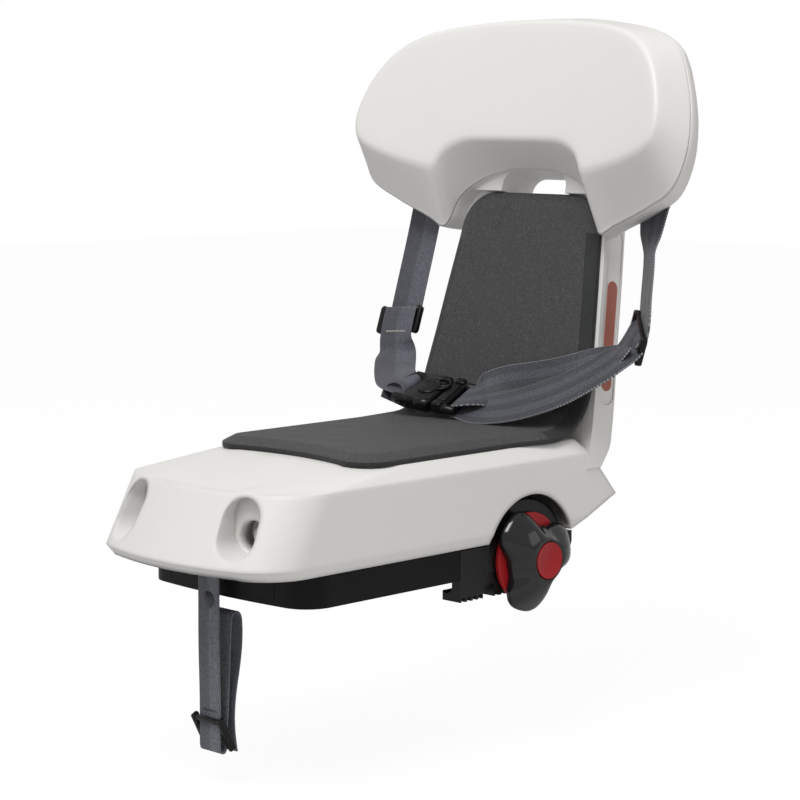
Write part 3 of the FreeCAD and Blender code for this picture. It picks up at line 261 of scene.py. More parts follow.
IVORY_DARK, IVORY_LIGHT = (0.760, 0.748, 0.730), (0.790, 0.780, 0.765)
IVORY = moulded("ivory_plastic", IVORY_DARK, IVORY_LIGHT, 0.42, 1500.0, 0.00012, soft=1.2)
SHELL_IVORY = moulded("ivory_shell", IVORY_DARK, IVORY_LIGHT, 0.42, 1500.0, 0.00012, soft=6.0)
BLACK = moulded("black_plastic", (0.0040, 0.0040, 0.0046), (0.0065, 0.0065, 0.0072), 0.40, 1100.0, 0.0002,
                soft=0.8, Specular_IOR_Level=0.16)
JAW_BLACK = moulded("jaw_plastic", (0.0065, 0.0065, 0.0072), (0.010, 0.010, 0.011), 0.28, 1300.0, 0.00012,
                    Specular_IOR_Level=0.3)
GLOSS = moulded("knob_plastic", (0.006, 0.006, 0.007), (0.009, 0.009, 0.010), 0.09, 500.0, 0.00001,
                Coat_Weight=0.2, Coat_Roughness=0.04)
GLOSS_BLACK = moulded("buckle_plastic", (0.005, 0.005, 0.0055), (0.009, 0.009, 0.010), 0.24, 900.0, 0.00005,
                      Specular_IOR_Level=0.28)
RED = moulded("red_plastic", (0.33, 0.008, 0.011), (0.38, 0.012, 0.016), 0.34, 1500.0, 0.0001,
              Specular_IOR_Level=0.3)
BADGE = moulded("badge_plastic", (0.34, 0.100, 0.068), (0.40, 0.125, 0.088), 0.45, 1500.0, 0.0001)
FOAM = foam("eva_foam", (0.030, 0.030, 0.032), (0.068, 0.068, 0.071), (0.135, 0.135, 0.140), 0.45)
# Dark foam for the pad's rim and back sides: partly the foam's own smooth skin, partly painted shade of the
# sides turned away from the light
FOAM_SKIN_AND_SHADE = foam("eva_skin_and_shade", (0.016, 0.017, 0.017), (0.026, 0.028, 0.028), (0.050, 0.052, 0.052), 0.3)
LOOP_WEB = webbing("webbing_banded", (0.020, 0.022, 0.028), (0.092, 0.097, 0.117), 2.5, 0.9)
PLAIN_WEB = webbing("webbing", (0.038, 0.040, 0.052), (0.125, 0.129, 0.158), 1.0, 0.25)
TETHER_WEB = webbing("webbing_narrow", (0.034, 0.039, 0.048), (0.185, 0.202, 0.232), 1.0, 0.10)
PALE_THREAD = thread_finish("pale_thread", (0.50, 0.49, 0.42), (0.70, 0.69, 0.60))
DARK_THREAD = thread_finish("dark_thread", (0.008, 0.008, 0.009), (0.020, 0.020, 0.022))
STEEL = metal("plated_steel", (0.50, 0.50, 0.51), (0.66, 0.66, 0.67), 0.32, (1.0, 6.0, 6.0))
RIVET = moulded("rivet_steel", (0.045, 0.048, 0.053), (0.065, 0.068, 0.074), 0.30, 800.0, 0.0001,
                Metallic=0.25)
BLACK_STEEL = moulded("black_steel", (0.010, 0.010, 0.011), (0.022, 0.022, 0.023), 0.36, 800.0, 0.0001,
                      Metallic=0.6)
BRASS = metal("brass_insert", (0.52, 0.37, 0.14), (0.72, 0.54, 0.24), 0.30, (8.0, 1.0, 1.0))

NODE_FINISHES = [
    (SHELL_IVORY, ("seat_shell",)),
    (IVORY, ("back_column", "column_rear_cover", "headrest_front", "headrest_rear_cover")),
    (BLACK, ("base_tray", "tray_front_panel", "harness_slide_right", "harness_slide_left", "buckle_socket",
             "buckle_plug", "tether_slide", "jaw_fixed")),
    (JAW_BLACK, ("jaw_moving",)),
    (GLOSS, ("knob_body",)),
    (RED, ("knob_cap", "knob_flange")),
    (BADGE, ("side_badge",)),
    (STEEL, ("headrest_screws", "column_screws", "bracket_bolts", "seat_bolts", "strap_anchor_pins",
             "guide_pins", "clamp_screw", "thrust_washer", "jaw_screws", "tether_screw")),
    (BLACK_STEEL, ("back_bracket", "tether_snap")),
    (BRASS, ("knob_insert",)),
]
for material, names in NODE_FINISHES:
    for name in names:
        mesh = nodes[name].data
        mesh.materials.clear()
        mesh.materials.append(material)


# Mesh helpers


def mesh_piece(name, points, faces, material, body):
    """A new piece from points in millimetres, riding on a body."""
    mesh = bpy.data.meshes.new(name)
    mesh.from_pydata([tuple(Vector(p) * MM) for p in points], [], faces)
    mesh.validate()
    mesh.update()
    mesh.materials.append(material)
    for polygon in mesh.polygons:
        polygon.use_smooth = True
    piece = bpy.data.objects.new(name, mesh)
    bpy.context.collection.objects.link(piece)
    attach(piece, body)
    return piece


def nurbs_points(poles, steps):
    """Points read from the NURBS curve that has these control points."""
    curve = bpy.data.curves.new("route", "CURVE")
    curve.dimensions = "3D"
    curve.resolution_u = steps
    spline = curve.splines.new("NURBS")
    spline.points.add(len(poles) - 1)
    for row, pole in zip(spline.points, poles):
        row.co = (*pole, 1.0)
    spline.order_u = 3
    spline.use_endpoint_u = True
    holder = bpy.data.objects.new("route", curve)
    bpy.context.collection.objects.link(holder)
    mesh = bpy.data.meshes.new_from_object(holder)
    read = [v.co.copy() for v in mesh.vertices]
    bpy.data.objects.remove(holder)
    bpy.data.curves.remove(curve)
    bpy.data.meshes.remove(mesh)
    return read


EDGE_STEPS, TURNED_SIDES, RING_SIDES, RING_ROUND = 3, 32, 48, 10
POINT_R = 0.02


def arc(cx, cy, r, start, end, count):
    rows = []
    for k in range(count + 1):
        angle = math.radians(start + (end - start) * k / count)
        rows.append((cx + r * math.cos(angle), cy + r * math.sin(angle)))
    return rows


def inset(loop, distance):
    """A closed outline moved inwards."""
    moved = []
    for i, (x, s) in enumerate(loop):
        x0, s0 = loop[i - 1]
        x1, s1 = loop[(i + 1) % len(loop)]
        away = math.hypot(x1 - x0, s1 - s0)
        moved.append((x - (s1 - s0) / away * distance, s + (x1 - x0) / away * distance))
    return moved


def inside(point, loop):
    x, y = point
    hit = False
    for (x0, y0), (x1, y1) in zip(loop, loop[1:] + loop[:1]):
        if (y0 > y) != (y1 > y) and x < x0 + (x1 - x0) * (y - y0) / (y1 - y0):
            hit = not hit
    return hit


def filled(points, faces, border, first, pitch, flip, place):
    """Closes a flat outline whose points start at an index, with a grid of points put in place inside it."""
    n = len(border)
    turns = sum(x0 * y1 - x1 * y0 for (x0, y0), (x1, y1) in zip(border, border[1:] + border[:1]))
    within = inset(border, pitch * 0.7 if turns > 0 else -pitch * 0.7)
    flat = [Vector(p) for p in border]
    y = min(q for p, q in border)
    while y < max(q for p, q in border):
        x = min(p for p, q in border)
        while x < max(p for p, q in border):
            if inside((x, y), within):
                flat.append(Vector((x, y)))
            x += pitch
        y += pitch
    cut = delaunay_2d_cdt(flat, [], [list(range(n))], 1, 1e-5)
    made, triangles, sources = cut[0], cut[2], cut[3]
    index = {}
    for k, at in enumerate(made):
        given = sources[k][0] if sources[k] else n
        if given < n:
            index[k] = first + given
        else:
            index[k] = len(points)
            points.append(place(at.x, at.y))
    for triangle in triangles:
        corners = [index[k] for k in triangle]
        faces.append(tuple(reversed(corners)) if flip else tuple(corners))


def ringed(rings):
    """Points and faces of a solid from closed rings of the same count, with flat ends."""
    n = len(rings[0])
    points = [p for row in rings for p in row]
    faces = []
    for k in range(len(rings) - 1):
        for i in range(n):
            j = (i + 1) % n
            faces.append((k * n + i, k * n + j, (k + 1) * n + j, (k + 1) * n + i))
    faces += [tuple(reversed(range(n))), tuple(range((len(rings) - 1) * n, len(rings) * n))]
    return points, faces


def rounded_loop(wide, tall, r):
    """A rectangle with rounded corners about the origin."""
    loop = []
    for cx, cy, start in ((1, 1, 0), (-1, 1, 90), (-1, -1, 180), (1, -1, 270)):
        loop += arc(cx * (wide / 2 - r), cy * (tall / 2 - r), r, start, start + 90, 6)
    return loop


def plate(loop, thick, edge, at, u, v, w):
    """A plate with rounded edges: its outline in u and v, its thickness along w."""
    rings = []
    rounding = range(EDGE_STEPS + 1)
    for sign, step in [(-1, k) for k in reversed(rounding)] + [(1, k) for k in rounding]:
        turn = math.radians(90 * step / EDGE_STEPS)
        height = sign * (thick / 2 - edge + edge * math.sin(turn))
        row = inset(loop, edge * (1 - math.cos(turn)))
        rings.append([at + u * a + v * b + w * height for a, b in row])
    if u.cross(v).dot(w) < 0:
        rings = [list(reversed(row)) for row in rings]
    return ringed(rings)


def turned(profile, at, axis, u, v):
    """A round solid from (distance along the axis, radius) rows."""
    rings = []
    for along, r in profile:
        row = []
        for k in range(TURNED_SIDES):
            turn = math.tau * k / TURNED_SIDES
            r_now = max(r, POINT_R)
            row.append(at + axis * along + u * (r_now * math.cos(turn)) + v * (r_now * math.sin(turn)))
        rings.append(row)
    if u.cross(v).dot(axis) < 0:
        rings = [list(reversed(row)) for row in rings]
    return ringed(rings)


def ring(radii, r, at, u, v, w):
    """An oval ring of round section."""
    points, faces = [], []
    for k in range(RING_SIDES):
        turn = math.tau * k / RING_SIDES
        radial = u * math.cos(turn) + v * math.sin(turn)
        centre = at + u * (radii[0] * math.cos(turn)) + v * (radii[1] * math.sin(turn))
        for i in range(RING_ROUND):
            angle = math.tau * i / RING_ROUND
            points.append(centre + radial * (r * math.cos(angle)) + w * (r * math.sin(angle)))
    for k in range(RING_SIDES):
        for i in range(RING_ROUND):
            j, m = (i + 1) % RING_ROUND, (k + 1) % RING_SIDES
            faces.append((k * RING_ROUND + i, m * RING_ROUND + i, m * RING_ROUND + j, k * RING_ROUND + j))
    return points, faces


def gathered(name, parts, material, body):
    """One piece from several solids."""
    points, faces = [], []
    for part_points, part_faces in parts:
        first = len(points)
        points += part_points
        faces += [tuple(first + i for i in face) for face in part_faces]
    return mesh_piece(name, points, faces, material, body)


# Webbing

# Half section of a strap: share of the half width, share of the half thickness
WEB_SECTION = [(0.0, 0.92), (0.18, 1.0), (0.34, 0.86), (0.52, 1.0), (0.70, 0.86), (0.86, 1.0), (0.93, 0.82),
               (0.975, 1.0), (1.0, 0.55)]
WEB_STEPS = 10


def frames_along(route):
    """Points of a strap's line with its direction, its width's direction and its face's direction."""
    middle = nurbs_points([at for at, across in route], WEB_STEPS)
    turning = nurbs_points([across for at, across in route], WEB_STEPS)
    rows = []
    for k, at in enumerate(middle):
        forward = (middle[min(k + 1, len(middle) - 1)] - middle[max(k - 1, 0)]).normalized()
        side = square_to(turning[k], forward)
        rows.append((at, forward, side, side.cross(forward)))
    return rows


def strap(name, route, width, material, node):
    """A woven strap along a route of (control point, direction of the strap's width)."""
    rows = frames_along(route)
    half = [(-u, h) for u, h in reversed(WEB_SECTION[1:])] + WEB_SECTION
    section = half + [(u, -h) for u, h in reversed(half)]
    n = len(section)
    rings = []
    for at, forward, side, out in rows:
        rings.append([at + side * (u * width / 2) + out * (h * WEB_THICK / 2) for u, h in section])
    points, faces = ringed(rings)
    piece = mesh_piece(name, points, faces, material, "frame")
    run = [0.0]
    for (a, *_), (b, *_) in zip(rows, rows[1:]):
        run.append(run[-1] + (b - a).length * MM)
    layer = piece.data.uv_layers.new(name="UVMap")
    for loop in piece.data.loops:
        k, i = divmod(loop.vertex_index, n)
        layer.data[loop.index].uv = ((section[i][0] + 1) / 2, run[k])
    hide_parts(node)
    path = [at * MM for at, *_ in rows]
    return piece, dict(exit=path[0], length=run[-1], diameter=width * MM, stiffness="limp", path=path)


STITCH_PITCH, STITCH_R, STITCH_LEAN, STITCH_LIFT, STITCH_END = 1.7, 0.36, 0.45, 0.15, 0.15


def sewn(name, route, near, face, length, material):
    """A bar of stitches across a strap, on the face that looks along a direction."""
    rows = frames_along(route)
    at, forward, side, out = min(rows, key=lambda row: (row[0] - near).length)
    if out.dot(face) < 0:
        out = -out
    parts = []
    count = int(length / STITCH_PITCH)
    for k in range(count):
        lean = STITCH_LEAN if k % 2 else -STITCH_LEAN
        way = (side * 0.9 + forward * lean).normalized()
        start = at + side * ((k - count / 2) * STITCH_PITCH) + out * (WEB_THICK / 2 + STITCH_LIFT) - way * 0.2
        span = STITCH_PITCH * 1.25
        profile = [(0.0, 0.0), (STITCH_END, STITCH_R * 0.8), (span * 0.3, STITCH_R), (span * 0.7, STITCH_R),
                   (span - STITCH_END, STITCH_R * 0.8), (span, 0.0)]
        up = square_to(out, way)
        parts.append(turned(profile, start, way, up, way.cross(up)))
    return gathered(name, parts, material, "frame")


def weave(at, along, out, across):
    """Webbing going down behind the top bar of a slide and before the middle one."""
    steps = ((1.25, -1), (0.75, -1), (0.25, 1), (-0.25, 1.4))
    return [(at + along * (z * SLIDE_PITCH) + out * (y * SLIDE_LIFT), across) for z, y in steps]


def wrapped(bar, ahead, turns):
    """Webbing round a bar of the buckle."""
    rows = []
    for turn in turns:
        angle = math.radians(turn)
        at = bar + ahead * (WRAP_R * math.cos(angle)) + buckle_up * (WRAP_R * math.sin(angle))
        rows.append((at, buckle_across))
    return rows


X_AXIS = Vector((1, 0, 0))
Y_AXIS = Vector((0, 1, 0))
buckle_up = square_to(BUCKLE_UP, BUCKLE_AXIS)
buckle_across = buckle_up.cross(BUCKLE_AXIS).normalized()
mouth = BUCKLE_AT + BUCKLE_AXIS * MOUTH_AT
socket_bar = mouth - BUCKLE_AXIS * SOCKET_REACH
plug_bar = mouth + BUCKLE_AXIS * PLUG_REACH

# Harness on the child's right: down behind the slide, folded over its top bar and on to the buckle
right_exit = leaned(-STRAP_X, STRAP_Y, STRAP_EXIT_Z)
right_along = (right_exit - RIGHT_SLIDE).normalized()
right_across = square_to(X_AXIS, right_along)
right_out = right_across.cross(right_along)
RIGHT_FOLD = [(30, -1.6), (14, -2.2), (3, -2.2), (-3.5, -1.4), (-3.5, 1.4), (3, 1.7), (9, 1.7), (11.5, 3.3),
              (9, 5.0), (3, 4.8), (-10, 4.6), (-20, 3.4)]
TACK_DROP, TACK_OUT, TACK_LONG, TETHER_TACK_LONG = 13.0, 4.6, 24.0, 18.0
right_route = [(leaned(-STRAP_X, STRAP_Y, STRAP_TOP_Z), X_AXIS), (right_exit, X_AXIS)]
right_route += [(RIGHT_SLIDE + right_along * z + right_out * y, right_across) for z, y in RIGHT_FOLD]
right_route += [(Vector((-120, 161, 164)), Vector((0.97, 0.15, -0.10))),
                (Vector((-112, 150, 152)), Vector((0.62, 0.76, 0.10))),
                (socket_bar - BUCKLE_AXIS * 13 + buckle_up * 6, buckle_across)]
right_route += wrapped(socket_bar, BUCKLE_AXIS, (90, 45, 0, -45, -90))
right_route += [(socket_bar - BUCKLE_AXIS * 8 - buckle_up * 6, buckle_across),
                (Vector((-76, 120, 122)), buckle_across)]
tack_at = RIGHT_SLIDE - right_along * TACK_DROP + right_out * TACK_OUT
right_tack = sewn("harness_right_tack", right_route, tack_at, right_out, TACK_LONG, PALE_THREAD)
right_strap, right_facts = strap("harness_right_webbing", right_route, WEB_WIDTH, PLAIN_WEB,
                                 "harness_strap_right")

# Harness on the child's left: through its slide, round the plug of the buckle and back to the slide
left_exit = leaned(STRAP_X, STRAP_Y, STRAP_EXIT_Z)
left_along = (left_exit - LEFT_SLIDE).normalized()
left_across = square_to(Vector((0.78, -0.62, 0)), left_along)
left_out = left_across.cross(left_along)
tilted_across = square_to(left_across - Vector((0, 0, 0.55)), left_out)
tilted_along = left_out.cross(tilted_across)
left_route = [(leaned(STRAP_X, STRAP_Y, STRAP_TOP_Z), -X_AXIS), (left_exit, -X_AXIS - left_across),
              (left_exit - left_along * 16, -left_across),
              (LEFT_SLIDE + left_along * 62 - left_out * 2, -left_across),
              (LEFT_SLIDE + left_along * 32 - left_out * 3, -left_across)]
left_route += weave(LEFT_SLIDE, tilted_along, left_out, -tilted_across)
left_route += [(Vector((131, 190, 180.5)), Vector((-0.74, 0.58, 0.34))),
               (Vector((127, 175, 173)), Vector((-0.70, 0.58, 0.42))),
               (Vector((121.5, 163.5, 165)), Vector((-0.62, 0.58, 0.52))),
               (Vector((105, 152, 153.5)), Vector((-0.55, 0.58, 0.60))),
               (Vector((89, 143.5, 144.5)), Vector((-0.50, 0.58, 0.64))),
               (Vector((54, 136.5, 132)), Vector((-0.45, 0.62, 0.64))),
               (Vector((20, 131, 124.5)), Vector((-0.30, 0.75, 0.55)))]
left_route += wrapped(plug_bar, -BUCKLE_AXIS, (-100, -45, 0, 45, 90))
left_route += [(plug_bar + BUCKLE_AXIS * 12 + buckle_up * 8, buckle_across),
               (Vector((14, 158, 143)), Vector((0, 0.35, 0.93))),
               (Vector((48, 163, 148.5)), Vector((-0.05, 0.30, 0.93))),
               (Vector((86, 165, 157)), Vector((-0.20, 0.30, 0.90))),
               (Vector((114, 176, 170)), Vector((-0.50, 0.45, 0.65))),
               (Vector((128, 193, 184)), -left_across)]
left_strap, left_facts = strap("harness_left_webbing", left_route, WEB_WIDTH, LOOP_WEB,
                               "harness_strap_left")

# Tether: down to its slide, round the middle bar, up into a fold and down to its free end
tether_points = [(TETHER_Y, 54), (TETHER_Y, 0), (TETHER_Y - 0.6, -40), (TETHER_Y + 0.4, -80),
                 (TETHER_Y, -116), (TETHER_Y, -126.5), (TETHER_BACK_Y, -126.5), (TETHER_BACK_Y, -112),
                 (-161.5, -84), (-160, -50), (-158.5, -26), (-157.5, -13), (-148, -13), (-146.5, -28),
                 (-148, -50), (-155.5, -86), (-156, -112), (-153, -127.5)]
tether_route = [(Vector((0, y, z)), X_AXIS) for y, z in tether_points]
tack_at = Vector((-1, TETHER_Y, TETHER_TACK_Z))
tether_tack = sewn("tether_tack", tether_route, tack_at, -Y_AXIS, TETHER_TACK_LONG, DARK_THREAD)
tether_strap, tether_facts = strap("tether_webbing", tether_route, TETHER_WIDTH, TETHER_WEB, "tether_strap")


# Headrest: outline of the front face and of the parting line, right half from the top round to the notch
FACE_OUTLINE = [(0, 351), (40, 350), (84, 345), (118, 337), (146, 321), (165, 298), (176, 270), (177, 249),
                (167, 235), (135, 224), (104, 218), (90, 217), (84.5, 223), (79, 231), (69, 238), (53, 242.8),
                (24, 243.6), (0, 243.6)]
PART_OUTLINE = [(0, 362), (40, 361), (85, 355), (126, 346), (156, 331), (175, 302), (188, 269), (191, 236),
                (179, 206), (150, 190), (112, 175), (95, 167), (87, 176), (81, 194), (68, 207), (49, 217),
                (23, 223.5), (0, 224)]
FACE_Y, HEAD_DEPTH, HEAD_SCOOP_R = -37.0, 37.0, 671.0
COVER_DEPTH, COVER_SCALE, COVER_FOCUS_Z = 37.0, 0.85, 200.0
HEAD_STEPS, HEAD_GRID, PARTING = 5, 9.0, 0.3
# Rings between the edges of each shell, as shares of its depth
FRONT_SHARES = (0.3, 0.45, 0.6, 0.75, 0.88, 0.965)
COVER_SHARES = (0.15, 0.30, 0.45, 0.58)
# Edges of the two shells: distance in from the outline and distance from the face
FACE_LIP = [(4.6, 0.0), (3.0, 0.25), (1.7, 0.8), (0.75, 1.7), (0.2, 2.8), (0.0, 4.2)]
COVER_LIP = [(0.0, 12.0), (0.9, 8.0), (3.2, 4.4), (6.5, 1.8), (10.5, 0.4), (14.0, 0.0)]


def through(points, steps):
    """A closed smooth curve through points in a plane."""
    rows = []
    n = len(points)
    for i in range(n):
        (x0, z0), (x1, z1), (x2, z2), (x3, z3) = (points[(i + k) % n] for k in (-1, 0, 1, 2))
        for k in range(steps):
            t = k / steps
            w = (-t + 2 * t * t - t ** 3, 2 - 5 * t * t + 3 * t ** 3, t + 4 * t * t - 3 * t ** 3,
                 t ** 3 - t * t)
            rows.append((0.5 * (w[0] * x0 + w[1] * x1 + w[2] * x2 + w[3] * x3),
                         0.5 * (w[0] * z0 + w[1] * z1 + w[2] * z2 + w[3] * z3)))
    return rows


def whole(half):
    """A right half made into the closed outline, counterclockwise seen from the back."""
    both = half + [(-x, z) for x, z in reversed(half[1:-1])]
    return through(list(reversed(both)), HEAD_STEPS)


def scooped(x, z, y):
    """A point at a depth behind the scooped face."""
    return leaned(x, y - (HEAD_SCOOP_R - math.sqrt(HEAD_SCOOP_R ** 2 - x * x)), z)


def head_shell(name, node, rings):
    """A shell from (outline, depth) rings, front to back, closed at both ends."""
    points, faces = [], []
    n = len(rings[0][0])
    for loop, y in rings:
        points += [scooped(x, z, y) for x, z in loop]
    for k in range(len(rings) - 1):
        for i in range(n):
            j = (i + 1) % n
            faces.append((k * n + j, k * n + i, (k + 1) * n + i, (k + 1) * n + j))
    front_loop, front_y = rings[0]
    back_loop, back_y = rings[-1]
    filled(points, faces, front_loop, 0, HEAD_GRID, False, lambda x, z: scooped(x, z, front_y))
    filled(points, faces, back_loop, (len(rings) - 1) * n, HEAD_GRID, True,
           lambda x, z: scooped(x, z, back_y))
    shell = mesh_piece(name, points, faces, IVORY, "frame")
    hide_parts(node)
    return shell


def between(a, b, t):
    return [(xa + (xb - xa) * t, za + (zb - za) * t) for (xa, za), (xb, zb) in zip(a, b)]


face_loop = whole(FACE_OUTLINE)
part_loop = whole(PART_OUTLINE)
rear_loop = [(x * COVER_SCALE, COVER_FOCUS_Z + (z - COVER_FOCUS_Z) * COVER_SCALE) for x, z in part_loop]
front_rings = []
for distance, back in FACE_LIP:
    loop = between(face_loop, part_loop, back / HEAD_DEPTH)
    front_rings.append((inset(loop, distance), FACE_Y + back))
for t in FRONT_SHARES:
    front_rings.append((between(face_loop, part_loop, t), FACE_Y + HEAD_DEPTH * t))
part_y = FACE_Y + HEAD_DEPTH
front_rings += [(inset(part_loop, 0.3), part_y - 0.7), (inset(part_loop, 3.0), part_y - 0.6)]
head_shell("headrest_front_shell", "headrest_front", front_rings)
cover_rings = [(inset(part_loop, 3.2), part_y - 0.5), (inset(part_loop, 3.0), part_y + 0.5),
               (inset(part_loop, PARTING + 0.3), part_y + 0.6), (inset(part_loop, PARTING), part_y + 1.2)]
for t in COVER_SHARES:
    cover_rings.append((inset(between(part_loop, rear_loop, t * t), PARTING), part_y + COVER_DEPTH * t))
for distance, ahead in COVER_LIP:
    t = 1 - ahead / COVER_DEPTH
    loop = between(part_loop, rear_loop, t * t)
    cover_rings.append((inset(loop, PARTING + distance), part_y + COVER_DEPTH - ahead))
head_shell("headrest_cover_shell", "headrest_rear_cover", cover_rings)


# Steps in the two front pockets, with the bore of the bolt below their middle
POCKET_AT, POCKET_TURN = Vector((66.0, -197.4, 66.0)), math.radians(15.0)
POCKET_WIDTH, POCKET_HEIGHT, POCKET_STEP, POCKET_END = 34.6, 47.6, 21.0, 39.6
BOLT_DROP, BORE_R, LEDGE_THICK, POCKET_SIDES = 8.5, 12.5, 4.0, 72
# Rounded mouth of the bore: depth under the ledge and how much wider it is there
BORE_LIP = [(0.0, 2.4), (0.7, 0.7), (2.4, 0.0)]


def pocket_step(name, side):
    """A ledge inside a pocket that narrows it to a round bore."""
    count = POCKET_SIDES
    along = Vector((-side * math.sin(POCKET_TURN), math.cos(POCKET_TURN), 0.0))
    across = Vector((math.cos(POCKET_TURN), side * math.sin(POCKET_TURN), 0.0))
    at = Vector((side * POCKET_AT.x, POCKET_AT.y, POCKET_AT.z))
    straight = (POCKET_HEIGHT - POCKET_WIDTH) / 2
    rows = []
    stations = [(POCKET_STEP + LEDGE_THICK, 0.0, 0.0), (POCKET_STEP, 0.0, 0.0)]
    stations += [(POCKET_STEP + under, 1.0, BORE_R + wider) for under, wider in BORE_LIP]
    stations.append((POCKET_END, 1.0, BORE_R))
    for depth, share, r in stations:
        row = []
        for k in range(count):
            turn = math.tau * (k + 0.5) / count
            rise = straight if math.sin(turn) > 0 else -straight
            a, b = POCKET_WIDTH / 2 * math.cos(turn), POCKET_WIDTH / 2 * math.sin(turn) + rise
            c, d = r * math.cos(turn), r * math.sin(turn) - BOLT_DROP
            height = Vector((0, 0, b + (d - b) * share))
            row.append(at + along * depth + across * (a + (c - a) * share) + height)
        rows.append(row)
    points = [p for row in rows for p in row]
    faces = []
    for k in range(len(rows)):
        m = (k + 1) % len(rows)
        for i in range(count):
            j = (i + 1) % count
            faces.append((k * count + i, k * count + j, m * count + j, m * count + i))
    mesh_piece(name, points, faces, IVORY, "frame")


pocket_step("pocket_step_left", 1)
pocket_step("pocket_step_right", -1)


# Slides, buckle and rivet

# Slides: half width, bars as (along, out, height, thickness), end tabs as (width, height, thickness)
SLIDE_HALF, GLIDE_HALF, SLIDE_SHIFT = 25.5, 18.0, 3.0
RIGHT_BARS = [(0.0, -0.3, 4.0, 1.5), (-11.0, 1.0, 4.5, 2.4), (11.0, -5.0, 4.5, 2.4)]
LEFT_BARS = [(0.0, 0.0, 4.5, 2.6), (-11.5, 0.0, 4.5, 2.8), (11.5, 0.0, 4.5, 2.8)]
GLIDE_BARS = [(1.0, 0.0, 3.2, 2.4), (12.0, 0.6, 4.4, 3.4), (-12.5, 0.0, 5.0, 3.4)]
RIGHT_TAB, LEFT_TAB, GLIDE_TAB = (7.5, 27.0, 5.5), (6.5, 28.0, 6.0), (4.6, 31.0, 6.6)
TAB_EDGE, BAR_CORNER, BAR_EDGE = 1.4, 0.8, 0.7


def slide_piece(name, node, at, along, across, out, half, bars, tab):
    """A slide: two rounded end tabs and the bars between them."""
    wide, tall, thick = tab
    parts = []
    for sign in (-1, 1):
        centre = at + across * (sign * (half - wide / 2))
        loop = rounded_loop(wide, tall, wide * 0.48)
        parts.append(plate(loop, thick, TAB_EDGE, centre, across, along, out))
    for z, y, high, deep in bars:
        centre = at + along * z + out * y
        loop = rounded_loop(2 * half - wide, high, BAR_CORNER)
        parts.append(plate(loop, deep, BAR_EDGE, centre, across, along, out))
    piece = gathered(name, parts, GLOSS_BLACK, "frame")
    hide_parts(node)
    return piece


right_slide = slide_piece("slide_right", "harness_slide_right", RIGHT_SLIDE - right_across * SLIDE_SHIFT,
                          right_along, right_across, right_out, SLIDE_HALF, RIGHT_BARS, RIGHT_TAB)
left_slide = slide_piece("slide_left", "harness_slide_left", LEFT_SLIDE, tilted_along, tilted_across,
                         left_out, SLIDE_HALF, LEFT_BARS, LEFT_TAB)
glide_at = Vector((0.0, -167.4, TETHER_LOW_Z + 1.5))
glide_along = Vector((0.0, -0.45, 0.89)).normalized()
glide_out = Vector((0.0, -0.89, -0.45)).normalized()
tether_glide = slide_piece("tether_glide", "tether_slide", glide_at, glide_along, X_AXIS, glide_out,
                           GLIDE_HALF, GLIDE_BARS, GLIDE_TAB)

# Buckle: places are (along from the mouth, across, up)
# Plates: length, width, corner radius, thickness, edge radius, place
BUCKLE_HALF = 23.3
SOCKET_PLATES = [(28.5, 2 * BUCKLE_HALF, 5.0, 12.6, 3.0, (-14.5, 0, 0)),
                 (19.0, 24.0, 9.0, 3.0, 1.2, (-13.5, 1.0, 6.4))]
PLUG_PLATES = [(14.5, 2 * BUCKLE_HALF, 4.5, 9.0, 2.6, (7.6, 0, 0)),
               (9.0, 30.0, 4.0, 2.2, 0.9, (8.0, 0, 4.9))]
# Rounded bars along the sides: start, end, distance in from the side, height, radius
SOCKET_ARMS = [(-41.0, -17.5, 3.6, 1.6, 4.4), (-17.2, -1.0, 3.4, 1.8, 4.9)]
PLUG_ARM = (1.5, 26.5, 3.2, 0.8, 4.0)
# Rings of the release button: two half widths, radius, place
BUTTON_RINGS = [((8.4, 6.2), 1.15, (-5.0, 9.0, 7.2)), ((11.6, 9.0), 0.8, (-7.0, 7.0, 7.4))]
BAR_R, BAR_LONG = 2.6, 44.0


def buckle_half(name, node, parts):
    piece = gathered(name, parts, GLOSS_BLACK, "frame")
    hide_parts(node)
    return piece


def in_buckle(along, across, up):
    return mouth + BUCKLE_AXIS * along + buckle_across * across + buckle_up * up


def buckle_plate(long, wide, corner, thick, edge, place):
    """A rounded plate lying in the buckle."""
    loop = rounded_loop(long, wide, corner)
    return plate(loop, thick, edge, in_buckle(*place), BUCKLE_AXIS, buckle_across, buckle_up)


def side_arm(side, start, end, margin, up, r):
    """A rounded bar along one side of the buckle."""
    profile = [(0.0, 0.0), (0.8, r * 0.7), (2.2, r), (end - start - 2.2, r), (end - start - 0.8, r * 0.7),
               (end - start, 0.0)]
    at = in_buckle(start, side * (BUCKLE_HALF - margin), up)
    return turned(profile, at, BUCKLE_AXIS, buckle_across, buckle_up)


def cross_bar(along):
    """The bar that the webbing goes round."""
    profile = [(0.0, 0.0), (0.6, BAR_R), (BAR_LONG - 0.6, BAR_R), (BAR_LONG, 0.0)]
    return turned(profile, in_buckle(along, -BAR_LONG / 2, 0.0), buckle_across, BUCKLE_AXIS, buckle_up)


socket_parts = [buckle_plate(*row) for row in SOCKET_PLATES]
for side in (-1, 1):
    socket_parts += [side_arm(side, *row) for row in SOCKET_ARMS]
socket_parts.append(cross_bar(-SOCKET_REACH))
for radii, r, place in BUTTON_RINGS:
    socket_parts.append(ring(radii, r, in_buckle(*place), BUCKLE_AXIS, buckle_across, buckle_up))
socket = buckle_half("buckle_socket_shell", "buckle_socket", socket_parts)
plug_parts = [buckle_plate(*row) for row in PLUG_PLATES]
for side in (-1, 1):
    plug_parts.append(side_arm(side, *PLUG_ARM))
    plug_parts.append(buckle_plate(10.0, 8.0, 2.4, 10.0, 1.8, (8.0, side * (BUCKLE_HALF - 3.0), 2.0)))
plug_parts.append(cross_bar(PLUG_REACH))
plug = buckle_half("buckle_plug_shell", "buckle_plug", plug_parts)

